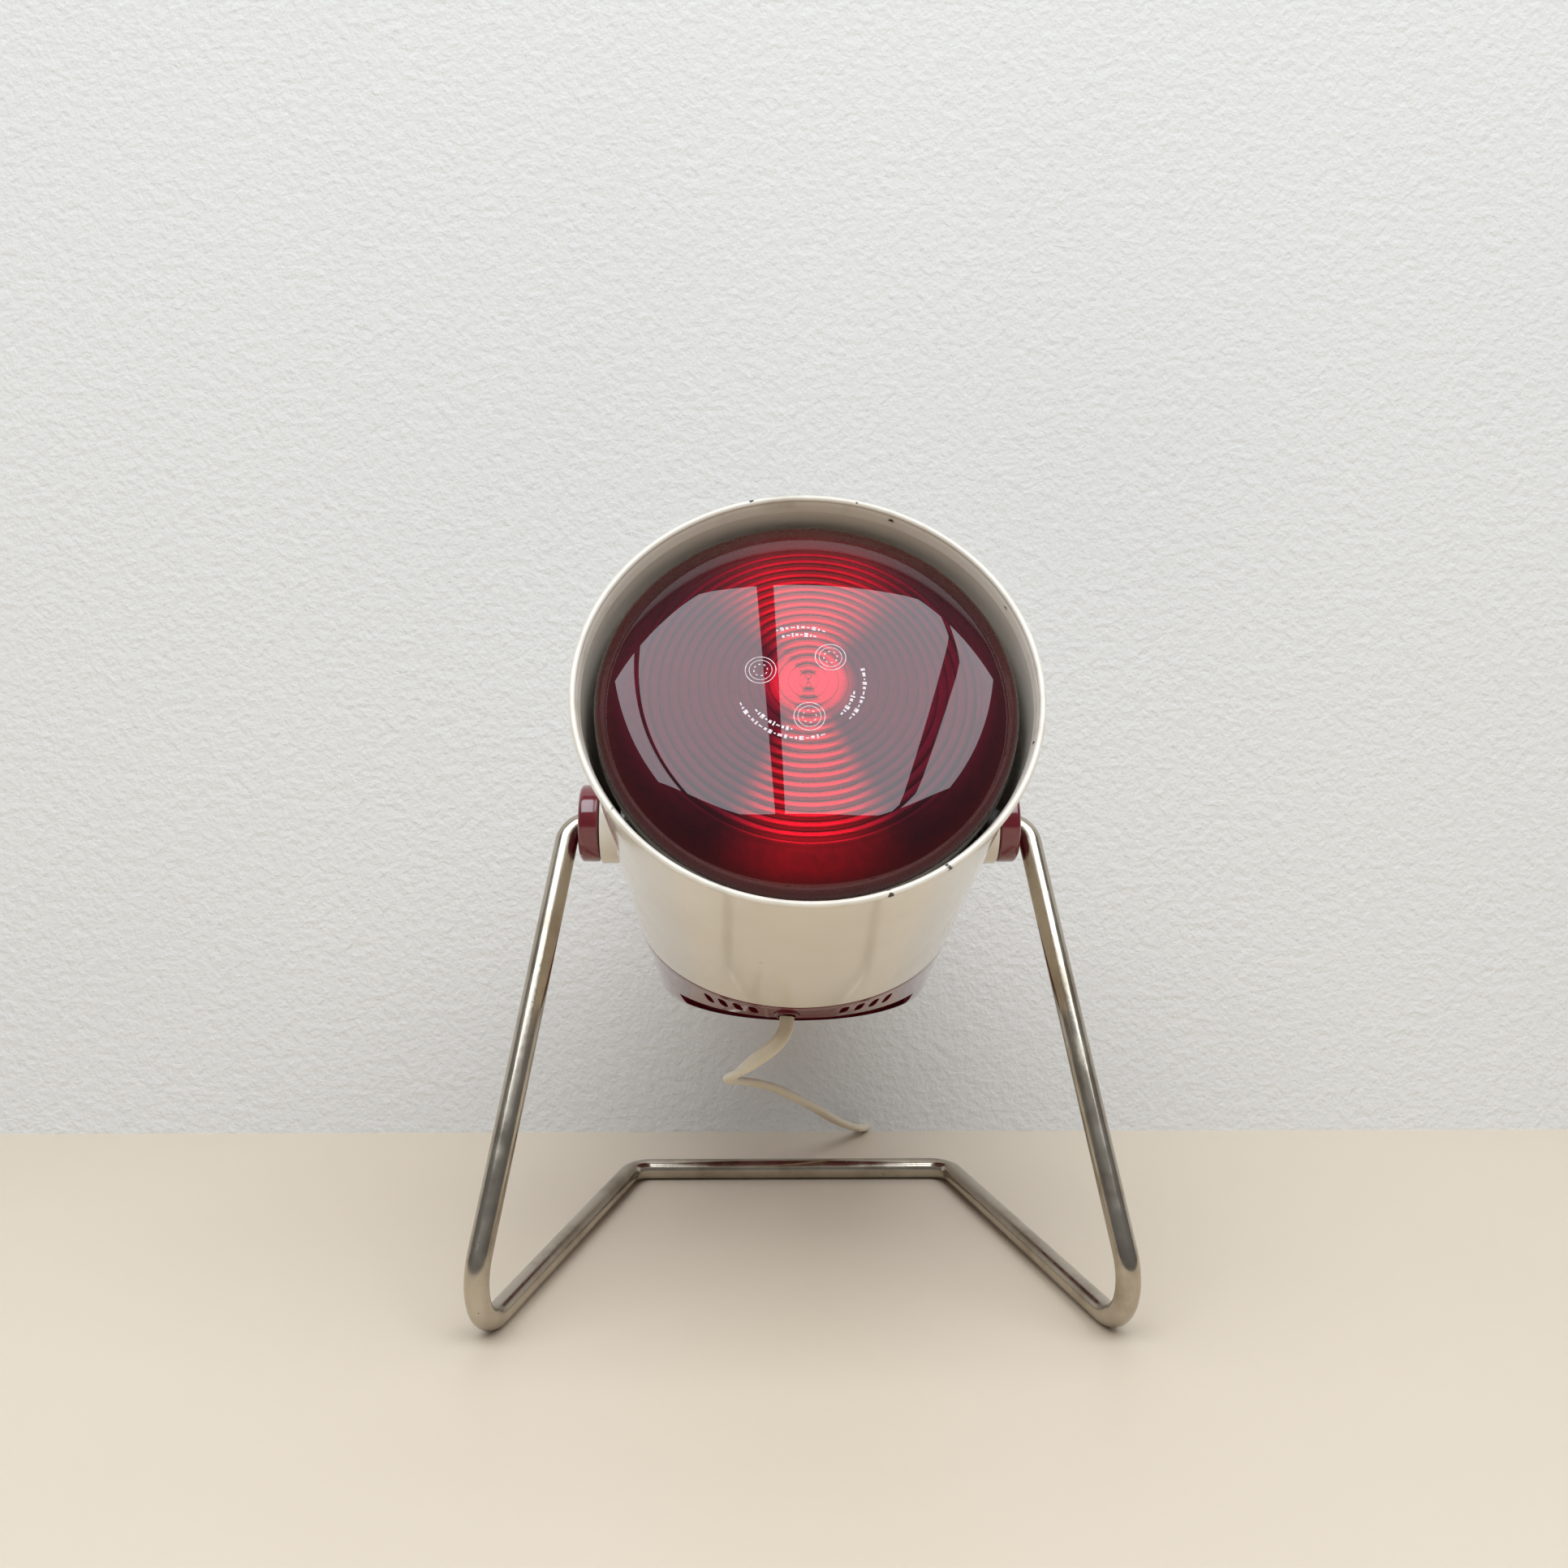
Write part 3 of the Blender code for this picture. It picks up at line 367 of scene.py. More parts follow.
def make_ruby():
    """Ruby glass over its silvered, ringed inside: the rings shine under a smooth clear face.

    The light that the bowl behind would send through is painted into the base colour: a painted highlight in two
    fans, a wide one above the middle and a narrow one below, and a painted bright core. The grooves between the
    rings are darkened with painted shade.
    """
    made, tree, shader = surface("ruby_glass", Metallic=0.7, Specular_IOR_Level=0.0,
                                 Coat_Weight=1.0, Coat_Roughness=0.012, Coat_IOR=1.5)
    place = local_place(tree)
    x, _, z = split(tree, place)
    radius = calc(tree, "SQRT", calc(tree, "ADD", calc(tree, "MULTIPLY", x, x), calc(tree, "MULTIPLY", z, z)))
    phase = calc(tree, "FRACT", calc(tree, "DIVIDE", radius, STEP_PITCH))
    hump = calc(tree, "SINE", calc(tree, "MULTIPLY", phase, math.pi))
    inside = span(tree, radius, LENS_EDGE - 3 * MM, LENS_EDGE - 7 * MM)
    groove = calc(tree, "MULTIPLY", span(tree, hump, 0.32, 0.10), inside)
    # Painted highlight: bright red fans, wide above the middle and narrow below, fading outwards, standing in for
    # light from the bowl.
    aside = calc(tree, "DIVIDE", calc(tree, "ABSOLUTE", x), radius)
    above = span(tree, z, -4 * MM, 4 * MM)
    wide = calc(tree, "MULTIPLY", span(tree, aside, 0.80, 0.20), above)
    narrow = calc(tree, "MULTIPLY", span(tree, aside, 0.55, 0.10), calc(tree, "SUBTRACT", 1.0, above))
    painted_fans = calc(tree, "ADD", wide, narrow, clamp=True)
    reach = span(tree, above, 0.0, 1.0, 110 * MM, 64 * MM)
    fading = span(tree, radius, reach, 12 * MM)
    painted_glow = calc(tree, "MULTIPLY", painted_fans, fading)
    # Painted glow: a bright red core in the middle of the lens.
    painted_core_glow = span(tree, radius, 14 * MM, 5 * MM)
    colour = mix(tree, painted_glow, (0.045, 0.0008, 0.0050), (0.62, 0.003, 0.012))
    colour = mix(tree, painted_core_glow, colour, (0.55, 0.006, 0.018))
    colour = mix(tree, span(tree, radius, 54 * MM, 60 * MM), colour, (0.080, 0.0030, 0.0035))
    streak = span(tree, noise(tree, place, 55.0, 4.0), 0.3, 0.7, 0.0, 0.25)
    colour = mix(tree, streak, colour, (0.030, 0.0005, 0.003))
    # Painted shade: the grooves between the rings are darkened, most of all within the painted fans.
    painted_groove_shade = calc(tree, "MULTIPLY", groove, span(tree, painted_glow, 0.0, 0.5, 0.45, 0.85))
    colour = mix(tree, painted_groove_shade, colour, (0.006, 0.0, 0.001))
    grain = calc(tree, "MULTIPLY", calc(tree, "MULTIPLY", noise(tree, place, 1500.0, 2.0), 0.10), inside)
    depth = calc(tree, "MULTIPLY", inside, span(tree, painted_glow, 0.0, 0.6, 0.45, 1.0))
    relief = calc(tree, "ADD", calc(tree, "MULTIPLY", hump, depth), grain)
    wire(tree, shader, Base_Color=colour, Normal=bump(tree, relief, 1.0, STEP_RELIEF),
         Roughness=span(tree, noise(tree, place, 400.0), 0.3, 0.7, 0.24, 0.36))
    return made


def make_etching():
    """White etched glass, thinner in places, where the red shows."""
    made, tree, shader = surface("etched_white", Roughness=0.6)
    place = local_place(tree)
    worn = span(tree, noise(tree, place, 1400.0, 2.0), 0.3, 0.75)
    wire(tree, shader, Base_Color=mix(tree, worn, (0.85, 0.80, 0.82), (0.60, 0.40, 0.44)))
    return made


def make_glazed(name, light, dark, rough):
    """Glazed ceramic, black glass or moulded plastic: faint clouds and a soft uneven gloss."""
    made, tree, shader = surface(name, Coat_Weight=0.4, Coat_Roughness=0.08)
    place = local_place(tree)
    cloud = span(tree, noise(tree, place, 150.0, 4.0), 0.35, 0.7)
    wire(tree, shader, Base_Color=mix(tree, cloud, light, dark),
         Roughness=span(tree, noise(tree, place, 300.0), 0.3, 0.7, rough * 0.8, rough * 1.3),
         Normal=bump(tree, noise(tree, place, 500.0), 0.10, 0.0002))
    return made


def make_cord_plastic():
    """Aged PVC: cream gone yellow, satin, with handling marks."""
    made, tree, shader = surface("cord_plastic", Specular_IOR_Level=0.45)
    place = local_place(tree)
    aged = span(tree, noise(tree, place, 28.0, 5.0, 0.6), 0.35, 0.7)
    colour = mix(tree, aged, (0.70, 0.60, 0.44), (0.76, 0.68, 0.54))
    grime = specks(tree, place, 330.0, 0.06, 0.90)
    colour = mix(tree, calc(tree, "MULTIPLY", grime, 0.5), colour, (0.25, 0.18, 0.11))
    wire(tree, shader, Base_Color=colour, Normal=bump(tree, noise(tree, place, 900.0, 2.0), 0.15, 0.0002),
         Roughness=span(tree, noise(tree, place, 210.0), 0.3, 0.75, 0.30, 0.46))
    return made


def make_materials():
    """Every finish by its name, which is that of the record's slot."""
    return {
        "cream_enamel": make_enamel(),
        "maroon_plastic": make_maroon(),
        "nickel_rod": make_nickel(),
        "ruby_glass": make_ruby(),
        "etched_white": make_etching(),
        "bulb_silver": make_metal("bulb_silver", (0.86, 0.83, 0.80), (0.78, 0.74, 0.70), 0.14),
        "zinc_steel": make_metal("zinc_steel", (0.60, 0.60, 0.58), (0.46, 0.45, 0.43), 0.34),
        "brass": make_metal("brass", (0.68, 0.50, 0.23), (0.50, 0.34, 0.14), 0.28),
        "tungsten": make_metal("tungsten", (0.30, 0.29, 0.28), (0.18, 0.17, 0.17), 0.45),
        "porcelain": make_glazed("porcelain", (0.86, 0.84, 0.78), (0.78, 0.75, 0.68), 0.16),
        "black_glass": make_glazed("black_glass", (0.015, 0.015, 0.020), (0.03, 0.03, 0.035), 0.12),
        "wire_blue": make_glazed("wire_blue", (0.06, 0.14, 0.40), (0.04, 0.10, 0.30), 0.35),
        "wire_brown": make_glazed("wire_brown", (0.22, 0.10, 0.05), (0.15, 0.07, 0.035), 0.35),
        "cord_plastic": make_cord_plastic(),
    }


# ---------------------------------------------------------------- shapes


def add_piece(name, shape, finish, body=None, place=None, replaces=(), sharp_deg=35.0):
    """An object from a bmesh with its finish, riding on a body and standing for its CAD nodes."""
    bmesh.ops.recalc_face_normals(shape, faces=shape.faces)
    mesh = bpy.data.meshes.new(name)
    shape.to_mesh(mesh)
    shape.free()
    mesh.materials.append(FINISH[finish])
    mesh.shade_smooth()
    mesh.set_sharp_from_angle(angle=math.radians(sharp_deg))
    made = bpy.data.objects.new(name, mesh)
    bpy.context.scene.collection.objects.link(made)
    if place is not None:
        made.matrix_world = place
        bpy.context.view_layer.update()
    if body:
        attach(made, body)
    if replaces:
        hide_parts(*replaces)
    return made


def skin(rings, closed=False):
    """A bmesh over rings of points; a ring of one point is a pole."""
    shape = bmesh.new()
    rows = [[shape.verts.new(p) for p in points] for points in rings]
    pairs = list(zip(rows, rows[1:]))
    if closed:
        pairs.append((rows[-1], rows[0]))
    for first, second in pairs:
        for i in range(max(len(first), len(second))):
            corners = []
            for vert in (first[i % len(first)], first[(i + 1) % len(first)],
                         second[(i + 1) % len(second)], second[i % len(second)]):
                if vert not in corners:
                    corners.append(vert)
            shape.faces.new(corners)
    return shape


def circle(radius, count):
    return [(radius * math.cos(TURN * i / count), radius * math.sin(TURN * i / count)) for i in range(count)]


def lathe(profile, steps=96, axis="Y"):
    """Rings of a body turned about an axis, from (radius, height) points."""
    rings = []
    for radius, height in profile:
        around = circle(radius, steps) if radius > 0 else [(0.0, 0.0)]
        rings.append([(a, height, b) if axis == "Y" else (height, a, b) for a, b in around])
    return rings


def arc(centre, radius, start_deg, end_deg, count):
    angles = [math.radians(start_deg + (end_deg - start_deg) * i / count) for i in range(count + 1)]
    return [(centre[0] + radius * math.cos(a), centre[1] + radius * math.sin(a)) for a in angles]


def curve_through(knots, steps=8):
    """Points of a Catmull-Rom curve through the knots."""
    padded = [2 * knots[0] - knots[1], *knots, 2 * knots[-1] - knots[-2]]
    points = []
    for a, b, c, d in zip(padded, padded[1:], padded[2:], padded[3:]):
        for i in range(steps):
            t = i / steps
            points.append(0.5 * (2 * b + (c - a) * t + (2 * a - 5 * b + 4 * c - d) * t**2
                                 + (3 * b - a - 3 * c + d) * t**3))
    return [*points, knots[-1]]


def rounded_line(corners, bends, steps=14):
    """A line through corners with each inner one replaced by an arc of its bend radius."""
    points = [corners[0]]
    for before, corner, after, radius in zip(corners, corners[1:], corners[2:], bends):
        to_back = (before - corner).normalized()
        to_front = (after - corner).normalized()
        half = to_back.angle(to_front) / 2
        middle = corner + (to_back + to_front).normalized() * radius / math.sin(half)
        first = corner + to_back * radius / math.tan(half) - middle
        last = corner + to_front * radius / math.tan(half) - middle
        sweep = first.angle(last)
        for i in range(steps + 1):
            share = i / steps
            bent = math.sin((1 - share) * sweep) * first + math.sin(share * sweep) * last
            points.append(middle + bent / math.sin(sweep))
    points.append(corners[-1])
    return points


def swell(value, power):
    """A sine or cosine raised to a power with its sign kept, which squares off an oval."""
    return math.copysign(abs(value) ** power, value)


def tangents(path):
    """The direction of a path at each of its points."""
    found = []
    for i in range(len(path)):
        before, after = path[max(i - 1, 0)], path[min(i + 1, len(path) - 1)]
        found.append((after - before).normalized())
    return found


def sweep_rings(path, section, start_side):
    """Rings of a section carried along a path without twist; section(i) gives (across, up) points."""
    side = Vector(start_side)
    rings = []
    for i, (point, ahead) in enumerate(zip(path, tangents(path))):
        side = (side - ahead * side.dot(ahead)).normalized()
        up = ahead.cross(side)
        rings.append([point + side * a + up * b for a, b in section(i)])
    return rings


def cut(target, cutters, operation="DIFFERENCE"):
    """Booleans applied at once, so that no cutter is left in the scene."""
    for tool in cutters:
        step = target.modifiers.new("cut", "BOOLEAN")
        step.operation = operation
        step.solver = "EXACT"
        step.object = tool
    bpy.context.view_layer.update()
    graph = bpy.context.evaluated_depsgraph_get()
    mesh = bpy.data.meshes.new_from_object(target.evaluated_get(graph))
    target.modifiers.clear()
    target.data = mesh
    mesh.shade_smooth()
    mesh.set_sharp_from_angle(angle=math.radians(35))
    for tool in cutters:
        bpy.data.objects.remove(tool, do_unlink=True)


def capped(rings):
    """A closed bmesh over rings, with the middle of its first and its last ring as poles."""
    first, last = (sum((Vector(p) for p in row), Vector()) / len(row) for row in (rings[0], rings[-1]))
    return skin([[first], *rings, [last]])


def cutter(rings):
    """A closed body over rings, in the head's frame, for a boolean."""
    return add_piece("cutter", capped(rings), "maroon_plastic", place=HEAD)


# ---------------------------------------------------------------- stand


def make_stand():
    """The one rod, bent six times, with domed ends inside the hood."""
    foot = ROD_RADIUS
    half = [
        Vector((ROD_END, PIVOT.y, PIVOT.z)),
        Vector((LEG_TOP_HALF, PIVOT.y, PIVOT.z)),
        Vector((FRONT_HALF, FRONT_Y, foot)),
        Vector((REAR_HALF, FRONT_Y + STAND_DEPTH, foot)),
    ]
    other = [Vector((-p.x, p.y, p.z)) for p in reversed(half)]
    path = rounded_line(half + other, [*ROD_BENDS, *reversed(ROD_BENDS)])
    start, end = path[0], path[-1]
    ahead, back = (path[1] - start).normalized(), (path[-2] - end).normalized()
    path = [start, start + ahead * ROD_END_EDGE, *path[1:-1], end + back * ROD_END_EDGE, end]
    last = len(path) - 1

    def section(i):
        return circle(ROD_RADIUS - ROD_END_EDGE if i in (0, last) else ROD_RADIUS, 32)

    rings = sweep_rings(path, section, (0, 0, 1))
    add_piece("stand_rod", skin([[start], *rings, [end]]), "nickel_rod", "stand", replaces=["stand_frame"])


# ---------------------------------------------------------------- hood and cap


def hood_radius(y):
    return HOOD_RIM_RADIUS - HOOD_TAPER * (y - RIM)


def seam_point(angle, inset=0.0, shift=0.0):
    """Where the hood's cone, made smaller by inset, meets the slanted joint."""
    radius = (hood_radius(SEAM_Y) - inset) / (1 + HOOD_TAPER * SEAM_SLANT * math.sin(angle))
    height = radius * math.sin(angle)
    return Vector((radius * math.cos(angle), SEAM_Y + SEAM_SLANT * height + shift, height))


def make_hood():
    """A drawn cone: rolled bead, a small step inside the rim, and a slanted rear edge."""
    steps, lengthwise = 192, 24
    inner = HOOD_RIM_RADIUS - HOOD_WALL
    turn_in = [
        (inner - 0.30 * MM, RIM + 4.2 * MM), (inner - 0.22 * MM, RIM + 3.7 * MM),
        (inner - 0.02 * MM, RIM + 3.4 * MM), (inner, RIM + 1.6 * MM),
    ]
    bead = [(r, RIM - h) for r, h in arc((BEAD_RING, 0), BEAD_RADIUS, 205, -75, 20)]
    tuck = [(HOOD_RIM_RADIUS + 0.15 * MM, RIM + 1.35 * MM), (HOOD_RIM_RADIUS - 0.1 * MM, RIM + 1.8 * MM)]
    middle = lathe([*turn_in, *bead, *tuck], steps)
    angles = [TURN * i / steps for i in range(steps)]
    outside, inside = [], []
    for k in range(1, lengthwise + 1):
        share = k / lengthwise
        outer_row, inner_row = [], []
        for i, angle in enumerate(angles):
            rear = seam_point(angle, 0.0, -SEAM_GAP / 2)
            outer_row.append(Vector(middle[-1][i]).lerp(rear, share))
            rear = seam_point(angle, HOOD_WALL, -SEAM_GAP / 2)
            inner_row.append(Vector(middle[0][i]).lerp(rear, share))
        outside.append(outer_row)
        inside.append(inner_row)
    shape = skin([*reversed(inside), *middle, *outside], closed=True)
    hood = add_piece("hood_enamelled", shape, "cream_enamel", "head", HEAD, ["hood_shell"])
    past = 90 * MM
    cut(hood, [cutter(lathe([(HOOD_HOLE_RADIUS, -past), (HOOD_HOLE_RADIUS, past)], 48, "X"))])


def end_point(angle, inset=0.0, lift=0.0):
    """A point of the cap's flat end, inset from its outline and lifted into the cap."""
    forward = Vector((0, math.cos(END_SLOPE), math.sin(END_SLOPE)))
    inward = Vector((0, -math.sin(END_SLOPE), math.cos(END_SLOPE)))
    across = Vector((1, 0, 0)) * (END_HALF_WIDTH - inset) * math.cos(angle)
    return END_CENTRE + across + forward * (END_HALF_LENGTH - inset) * math.sin(angle) + inward * lift


def wall_point(angle, share, depth=0.0):
    return seam_point(angle, depth).lerp(end_point(angle, depth, depth), share)


def cap_rings(inset, lift, rounds):
    """One surface of the cap, from the joint, round its edge, to the middle of its end."""
    steps = 144
    angles = [TURN * i / steps for i in range(steps)]
    rounding = END_ROUNDING - inset * 0.6
    lip = 0.6 * MM if inset == 0 else 0.0
    rings = [[seam_point(a, inset + lip * 0.6, SEAM_GAP / 2) for a in angles]]
    if lip:
        rings.append([seam_point(a, inset + 0.1 * lip, SEAM_GAP / 2 + lip * 0.5) for a in angles])
        rings.append([seam_point(a, inset, SEAM_GAP / 2 + lip * 1.2) for a in angles])
    corners = []
    for a in angles:
        wall, corner = seam_point(a, inset, SEAM_GAP / 2), end_point(a, inset, lift)
        start = corner + (wall - corner).normalized() * rounding
        corners.append((start, corner, end_point(a, inset + rounding, lift)))
    joint = rings[-1]
    for k in range(1, 6):
        rings.append([edge.lerp(start, k / 6) for edge, (start, _, _) in zip(joint, corners)])
    for k in range(rounds + 1):
        t = k / rounds
        rings.append([a * (1 - t) ** 2 + 2 * b * t * (1 - t) + c * t**2 for a, b, c in corners])
    for k in (1, 2, 3):
        row = []
        for a in angles:
            middle = END_CENTRE + (end_point(a, 0, lift) - end_point(a))
            row.append(end_point(a, inset + rounding, lift).lerp(middle, k / 4))
        rings.append(row)
    rings.append([end_point(0, 0, lift) - Vector((END_HALF_WIDTH, 0, 0))])
    return rings


def make_cap():
    """The cap: a shell between two unlike ovals, with pillars, vents and the cord's hole."""
    outside = cap_rings(0.0, 0.0, 10)
    inside = cap_rings(CAP_WALL, CAP_WALL, 6)
    shape = skin([*reversed(outside), *inside])
    cap = add_piece("cap_moulded", shape, "maroon_plastic", "head", HEAD, ["rear_cap"])
    inward = Vector((0, -math.sin(END_SLOPE), math.cos(END_SLOPE)))
    middle = END_CENTRE + inward * CAP_WALL / 2
    pillars, holes = [], []
    for side in (1, -1):
        centre = Vector((side * PILLAR_X, 0, PILLAR_Z))
        near, far = [], []
        for a, b in circle(PILLAR_RADIUS, HOLE_SIDES):
            p = Vector((side * PILLAR_X + a, 0, PILLAR_Z + b))
            near.append(Vector((p.x, PILLAR_START, p.z)))
            far.append(Vector((p.x, middle.y + (p.z - middle.z) / math.tan(END_SLOPE), p.z)))
        pillars.append(cutter([near, far]))
        for radius, low, high in SCREW_HOLES:
            rings = lathe([(radius, PILLAR_START + low), (radius, PILLAR_START + high)], HOLE_SIDES)
            holes.append(cutter([[Vector(p) + centre for p in row] for row in rings]))
    cut(cap, pillars, "UNION")
    cut(cap, [*holes, *vent_cutters()])


def vent_cutters():
    """The cord's hole, the long slot along the lower edge and the two groups of short slots."""
    out = Vector((0, math.sin(HOLE_LEAN), -math.cos(HOLE_LEAN)))
    across = Vector((1, 0, 0))
    beside = out.cross(across)
    rings = []
    for depth in (-8 * MM, 8 * MM):
        rings.append([CORD_HOLE + out * depth + CORD_HOLE_RADIUS * (across * a + beside * b)
                      for a, b in circle(1.0, HOLE_SIDES)])
    made = [cutter(rings)]
    steps = 48
    angles = [math.radians(-90 + VENT_HALF_ANGLE * (2 * i / steps - 1)) for i in range(steps + 1)]
    line = [wall_point(a, VENT_SHARE, CAP_WALL / 2) for a in angles]
    made.append(cutter(sweep_rings(line, lambda i: circle(VENT_RADIUS, 16), (0, 0, 1))))
    oval = arc((0, SLOT_RADIUS), SLOT_RADIUS, 0, 180, 8) + arc((0, -SLOT_RADIUS), SLOT_RADIUS, 180, 360, 8)
    for start in SLOT_STARTS:
        for i in range(SLOTS_A_GROUP):
            angle = math.radians(start + i * SLOT_PITCH_DEG)
            centre = wall_point(angle, SLOT_SHARE, CAP_WALL / 2)
            slope = (wall_point(angle, 0.5) - wall_point(angle, 0.1)).normalized()
            side = (wall_point(angle + 0.02, SLOT_SHARE) - wall_point(angle - 0.02, SLOT_SHARE)).normalized()
            normal = slope.cross(side).normalized()
            side = normal.cross(slope)
            made.append(cutter([[centre + side * a + slope * b + normal * depth for a, b in oval]
                                for depth in (-4.5 * MM, 4.5 * MM)]))
    return made


def make_pivots():
    """Round plastic bushes with soft edges and a dished face, and the pads between them and the hood."""
    bush = [
        (BUSH_BORE, BUSH_START), (BUSH_NECK, BUSH_START), (BUSH_NECK, BUSH_FOOT),
        (BUSH_RADIUS - BUSH_SOFT, BUSH_FOOT),
        *arc((BUSH_RADIUS - BUSH_SOFT, BUSH_FOOT + BUSH_SOFT), BUSH_SOFT, -70, 0, 5),
        *arc((BUSH_RADIUS - 2 * BUSH_SOFT, BUSH_FACE - 2 * BUSH_SOFT), 2 * BUSH_SOFT, 0, 90, 9),
        *arc((7.0 * MM, BUSH_FACE - BUSH_SOFT), BUSH_SOFT, 90, 160, 5),
        (4.6 * MM, BUSH_FACE - 3 * MM), (BUSH_BORE, BUSH_FACE - 4 * MM),
    ]
    steps = 96
    edge = arc((PAD_RADIUS - PAD_EDGE, PAD_FACE - PAD_EDGE), PAD_EDGE, 90, 0, 6)
    for side, word in ((1, "right"), (-1, "left")):
        rings = lathe([(r, side * h) for r, h in bush], steps, "X")
        add_piece(f"bush_{word}", skin(rings, closed=True), "maroon_plastic", "head", HEAD,
                  [f"pivot_bush_{word}"])
        rows = lathe([(r, side * h) for r, h in [(PAD_BORE, PAD_FACE), *edge]], steps, "X")
        for radius in (PAD_RADIUS, PAD_BORE):
            row = []
            for y, z in circle(radius, steps):
                reach = math.sqrt((hood_radius(y) + PAD_GAP) ** 2 - z**2)
                row.append((side * reach, y, z))
            rows.append(row)
        add_piece(f"pad_{word}", skin(rows, closed=True), "cream_enamel", "head", HEAD, [f"pivot_pad_{word}"])


# ---------------------------------------------------------------- bulb


def lens_height(radius):
    """How far behind the rim the lens's domed front lies at a radius."""
    return LENS_APEX + LENS_CROWN - math.sqrt(LENS_CROWN**2 - radius**2)


def lens_front():
    """The outline of the lens's face: a shallow crown, then two ever tighter bends, each to a slope."""
    count = 24
    points = [(LENS_FLAT * i / count, RIM + lens_height(LENS_FLAT * i / count)) for i in range(count + 1)]
    slope = math.asin(LENS_FLAT / LENS_CROWN)
    for bend, end_deg in LENS_BENDS:
        across, back = points[-1]
        end = math.radians(end_deg)
        for i in range(1, count + 1):
            turn = slope + (end - slope) * i / count
            points.append((across + bend * (math.sin(turn) - math.sin(slope)),
                           back + bend * (math.cos(slope) - math.cos(turn))))
        slope = end
    return points


def make_lens():
    """The lens: smooth domed front, rounded shoulder, and concentric prism steps on its inside."""
    rear = RIM + LENS_SEAM + 0.2 * MM
    rim_wall = [(BULB_RADIUS, rear), (BULB_RADIUS - 3 * MM, rear), (BULB_RADIUS - 3 * MM, rear - 1.5 * MM)]
    steps = []
    radius = BULB_RADIUS - 6 * MM
    while radius > 2 * STEP_PITCH:
        base = RIM + lens_height(min(radius, LENS_EDGE)) + LENS_GLASS
        steps.append((radius, base + STEP_HEIGHT))
        steps.append((radius - STEP_PITCH * 0.92, base))
        radius -= STEP_PITCH
    profile = [*lens_front(), *rim_wall, *steps, (0, RIM + LENS_APEX + LENS_GLASS + 0.2 * MM)]
    add_piece("lens_ruby", skin(lathe(profile, 256)), "ruby_glass", "head", HEAD, ["bulb_lens"], sharp_deg=20)


def make_reflector():
    """The pressed-glass bowl, silvered, with a short straight band where it meets the lens."""
    bowl = [Vector(p) * MM for p in BOWL_OUTLINE]
    outer = [(p.x, RIM + p.y) for p in curve_through(bowl, 6)]
    inner = [(p.x - BOWL_WALL, RIM + p.y) for p in curve_through(bowl[:-1], 6)]
    profile = [(0, outer[-1][1]), *reversed(outer), *inner, (0, inner[-1][1])]
    add_piece("reflector_silvered", skin(lathe(profile, 96)), "bulb_silver", "head", HEAD, ["bulb_reflector"])


def lens_strip(shape, centre, radius, start_deg, end_deg, width):
    """A thin curved stroke on the lens's front, closed on all sides."""
    count = max(2, round(abs(end_deg - start_deg) / 6))
    rows = []
    for i in range(count + 1):
        angle = math.radians(start_deg + (end_deg - start_deg) * i / count)
        row = []
        for reach, lift in ((-0.5, 0.02), (0.5, 0.02), (0.5, 0.05), (-0.5, 0.05)):
            x = centre[0] + (radius + reach * width) * math.cos(angle)
            z = centre[1] + (radius + reach * width) * math.sin(angle)
            row.append(shape.verts.new((x, RIM + lens_height(math.hypot(x, z)) - lift * MM, z)))
        rows.append(row)
    for first, second in zip(rows, rows[1:]):
        for i in range(4):
            j = (i + 1) % 4
            shape.faces.new((first[i], first[j], second[j], second[i]))
    if abs(end_deg - start_deg) < 359:
        shape.faces.new(rows[0])
        shape.faces.new(rows[-1])
        return
    bmesh.ops.remove_doubles(shape, verts=rows[0] + rows[-1], dist=1e-6)


def make_etching_marks():
    """Generic marks in place of print: two rows of dashes, and three badges of plain rings and ticks."""
    shape = bmesh.new()
    middle = (MARKS_X, 0.0)
    for radius, width, stretches in DASH_ROWS:
        for low, high in stretches:
            angle, k = low, 0
            while angle < high:
                length = DASH_LENGTHS_DEG[k % 4]
                lens_strip(shape, middle, radius, angle, angle + length, width * (1 + k % 3))
                angle += length + DASH_GAP_DEG
                k += 1
    for turn in BADGE_TURNS:
        angle = math.radians(turn)
        spot = (MARKS_X + BADGE_REACH * math.cos(angle), BADGE_REACH * math.sin(angle))
        for radius, width in BADGE_RINGS:
            lens_strip(shape, spot, radius, 0, 360, width)
        for k in range(8):
            lens_strip(shape, spot, TICK_RADIUS, 45 * k, 45 * k + 20, TICK_WIDTH)
    add_piece("lens_etching", shape, "etched_white", "head", HEAD)


# ---------------------------------------------------------------- cord and plug


def coil_point(angle_deg):
    """A point of the wound cord: turns side by side, layer on layer."""
    turn = (angle_deg - COIL_START_DEG) / 360
    index = int(turn)
    share = min(max((turn - index - 0.75) / 0.25, 0.0), 1.0)
    share = share * share * (3 - 2 * share)
    after = min(index + 1, len(COIL_TURN_RADII) - 1)
    radius = COIL_TURN_RADII[index] * (1 - share) + COIL_TURN_RADII[after] * share
    layer = index // 3 + ((after // 3) - (index // 3)) * share
    angle = math.radians(angle_deg)
    flat = Vector((math.cos(angle), math.sin(angle), 0)) * radius * MM
    return COIL_CENTRE + flat + Vector((0, 0, CORD_HALF_THICKNESS + 0.05 * MM + layer * LAYER_HEIGHT))


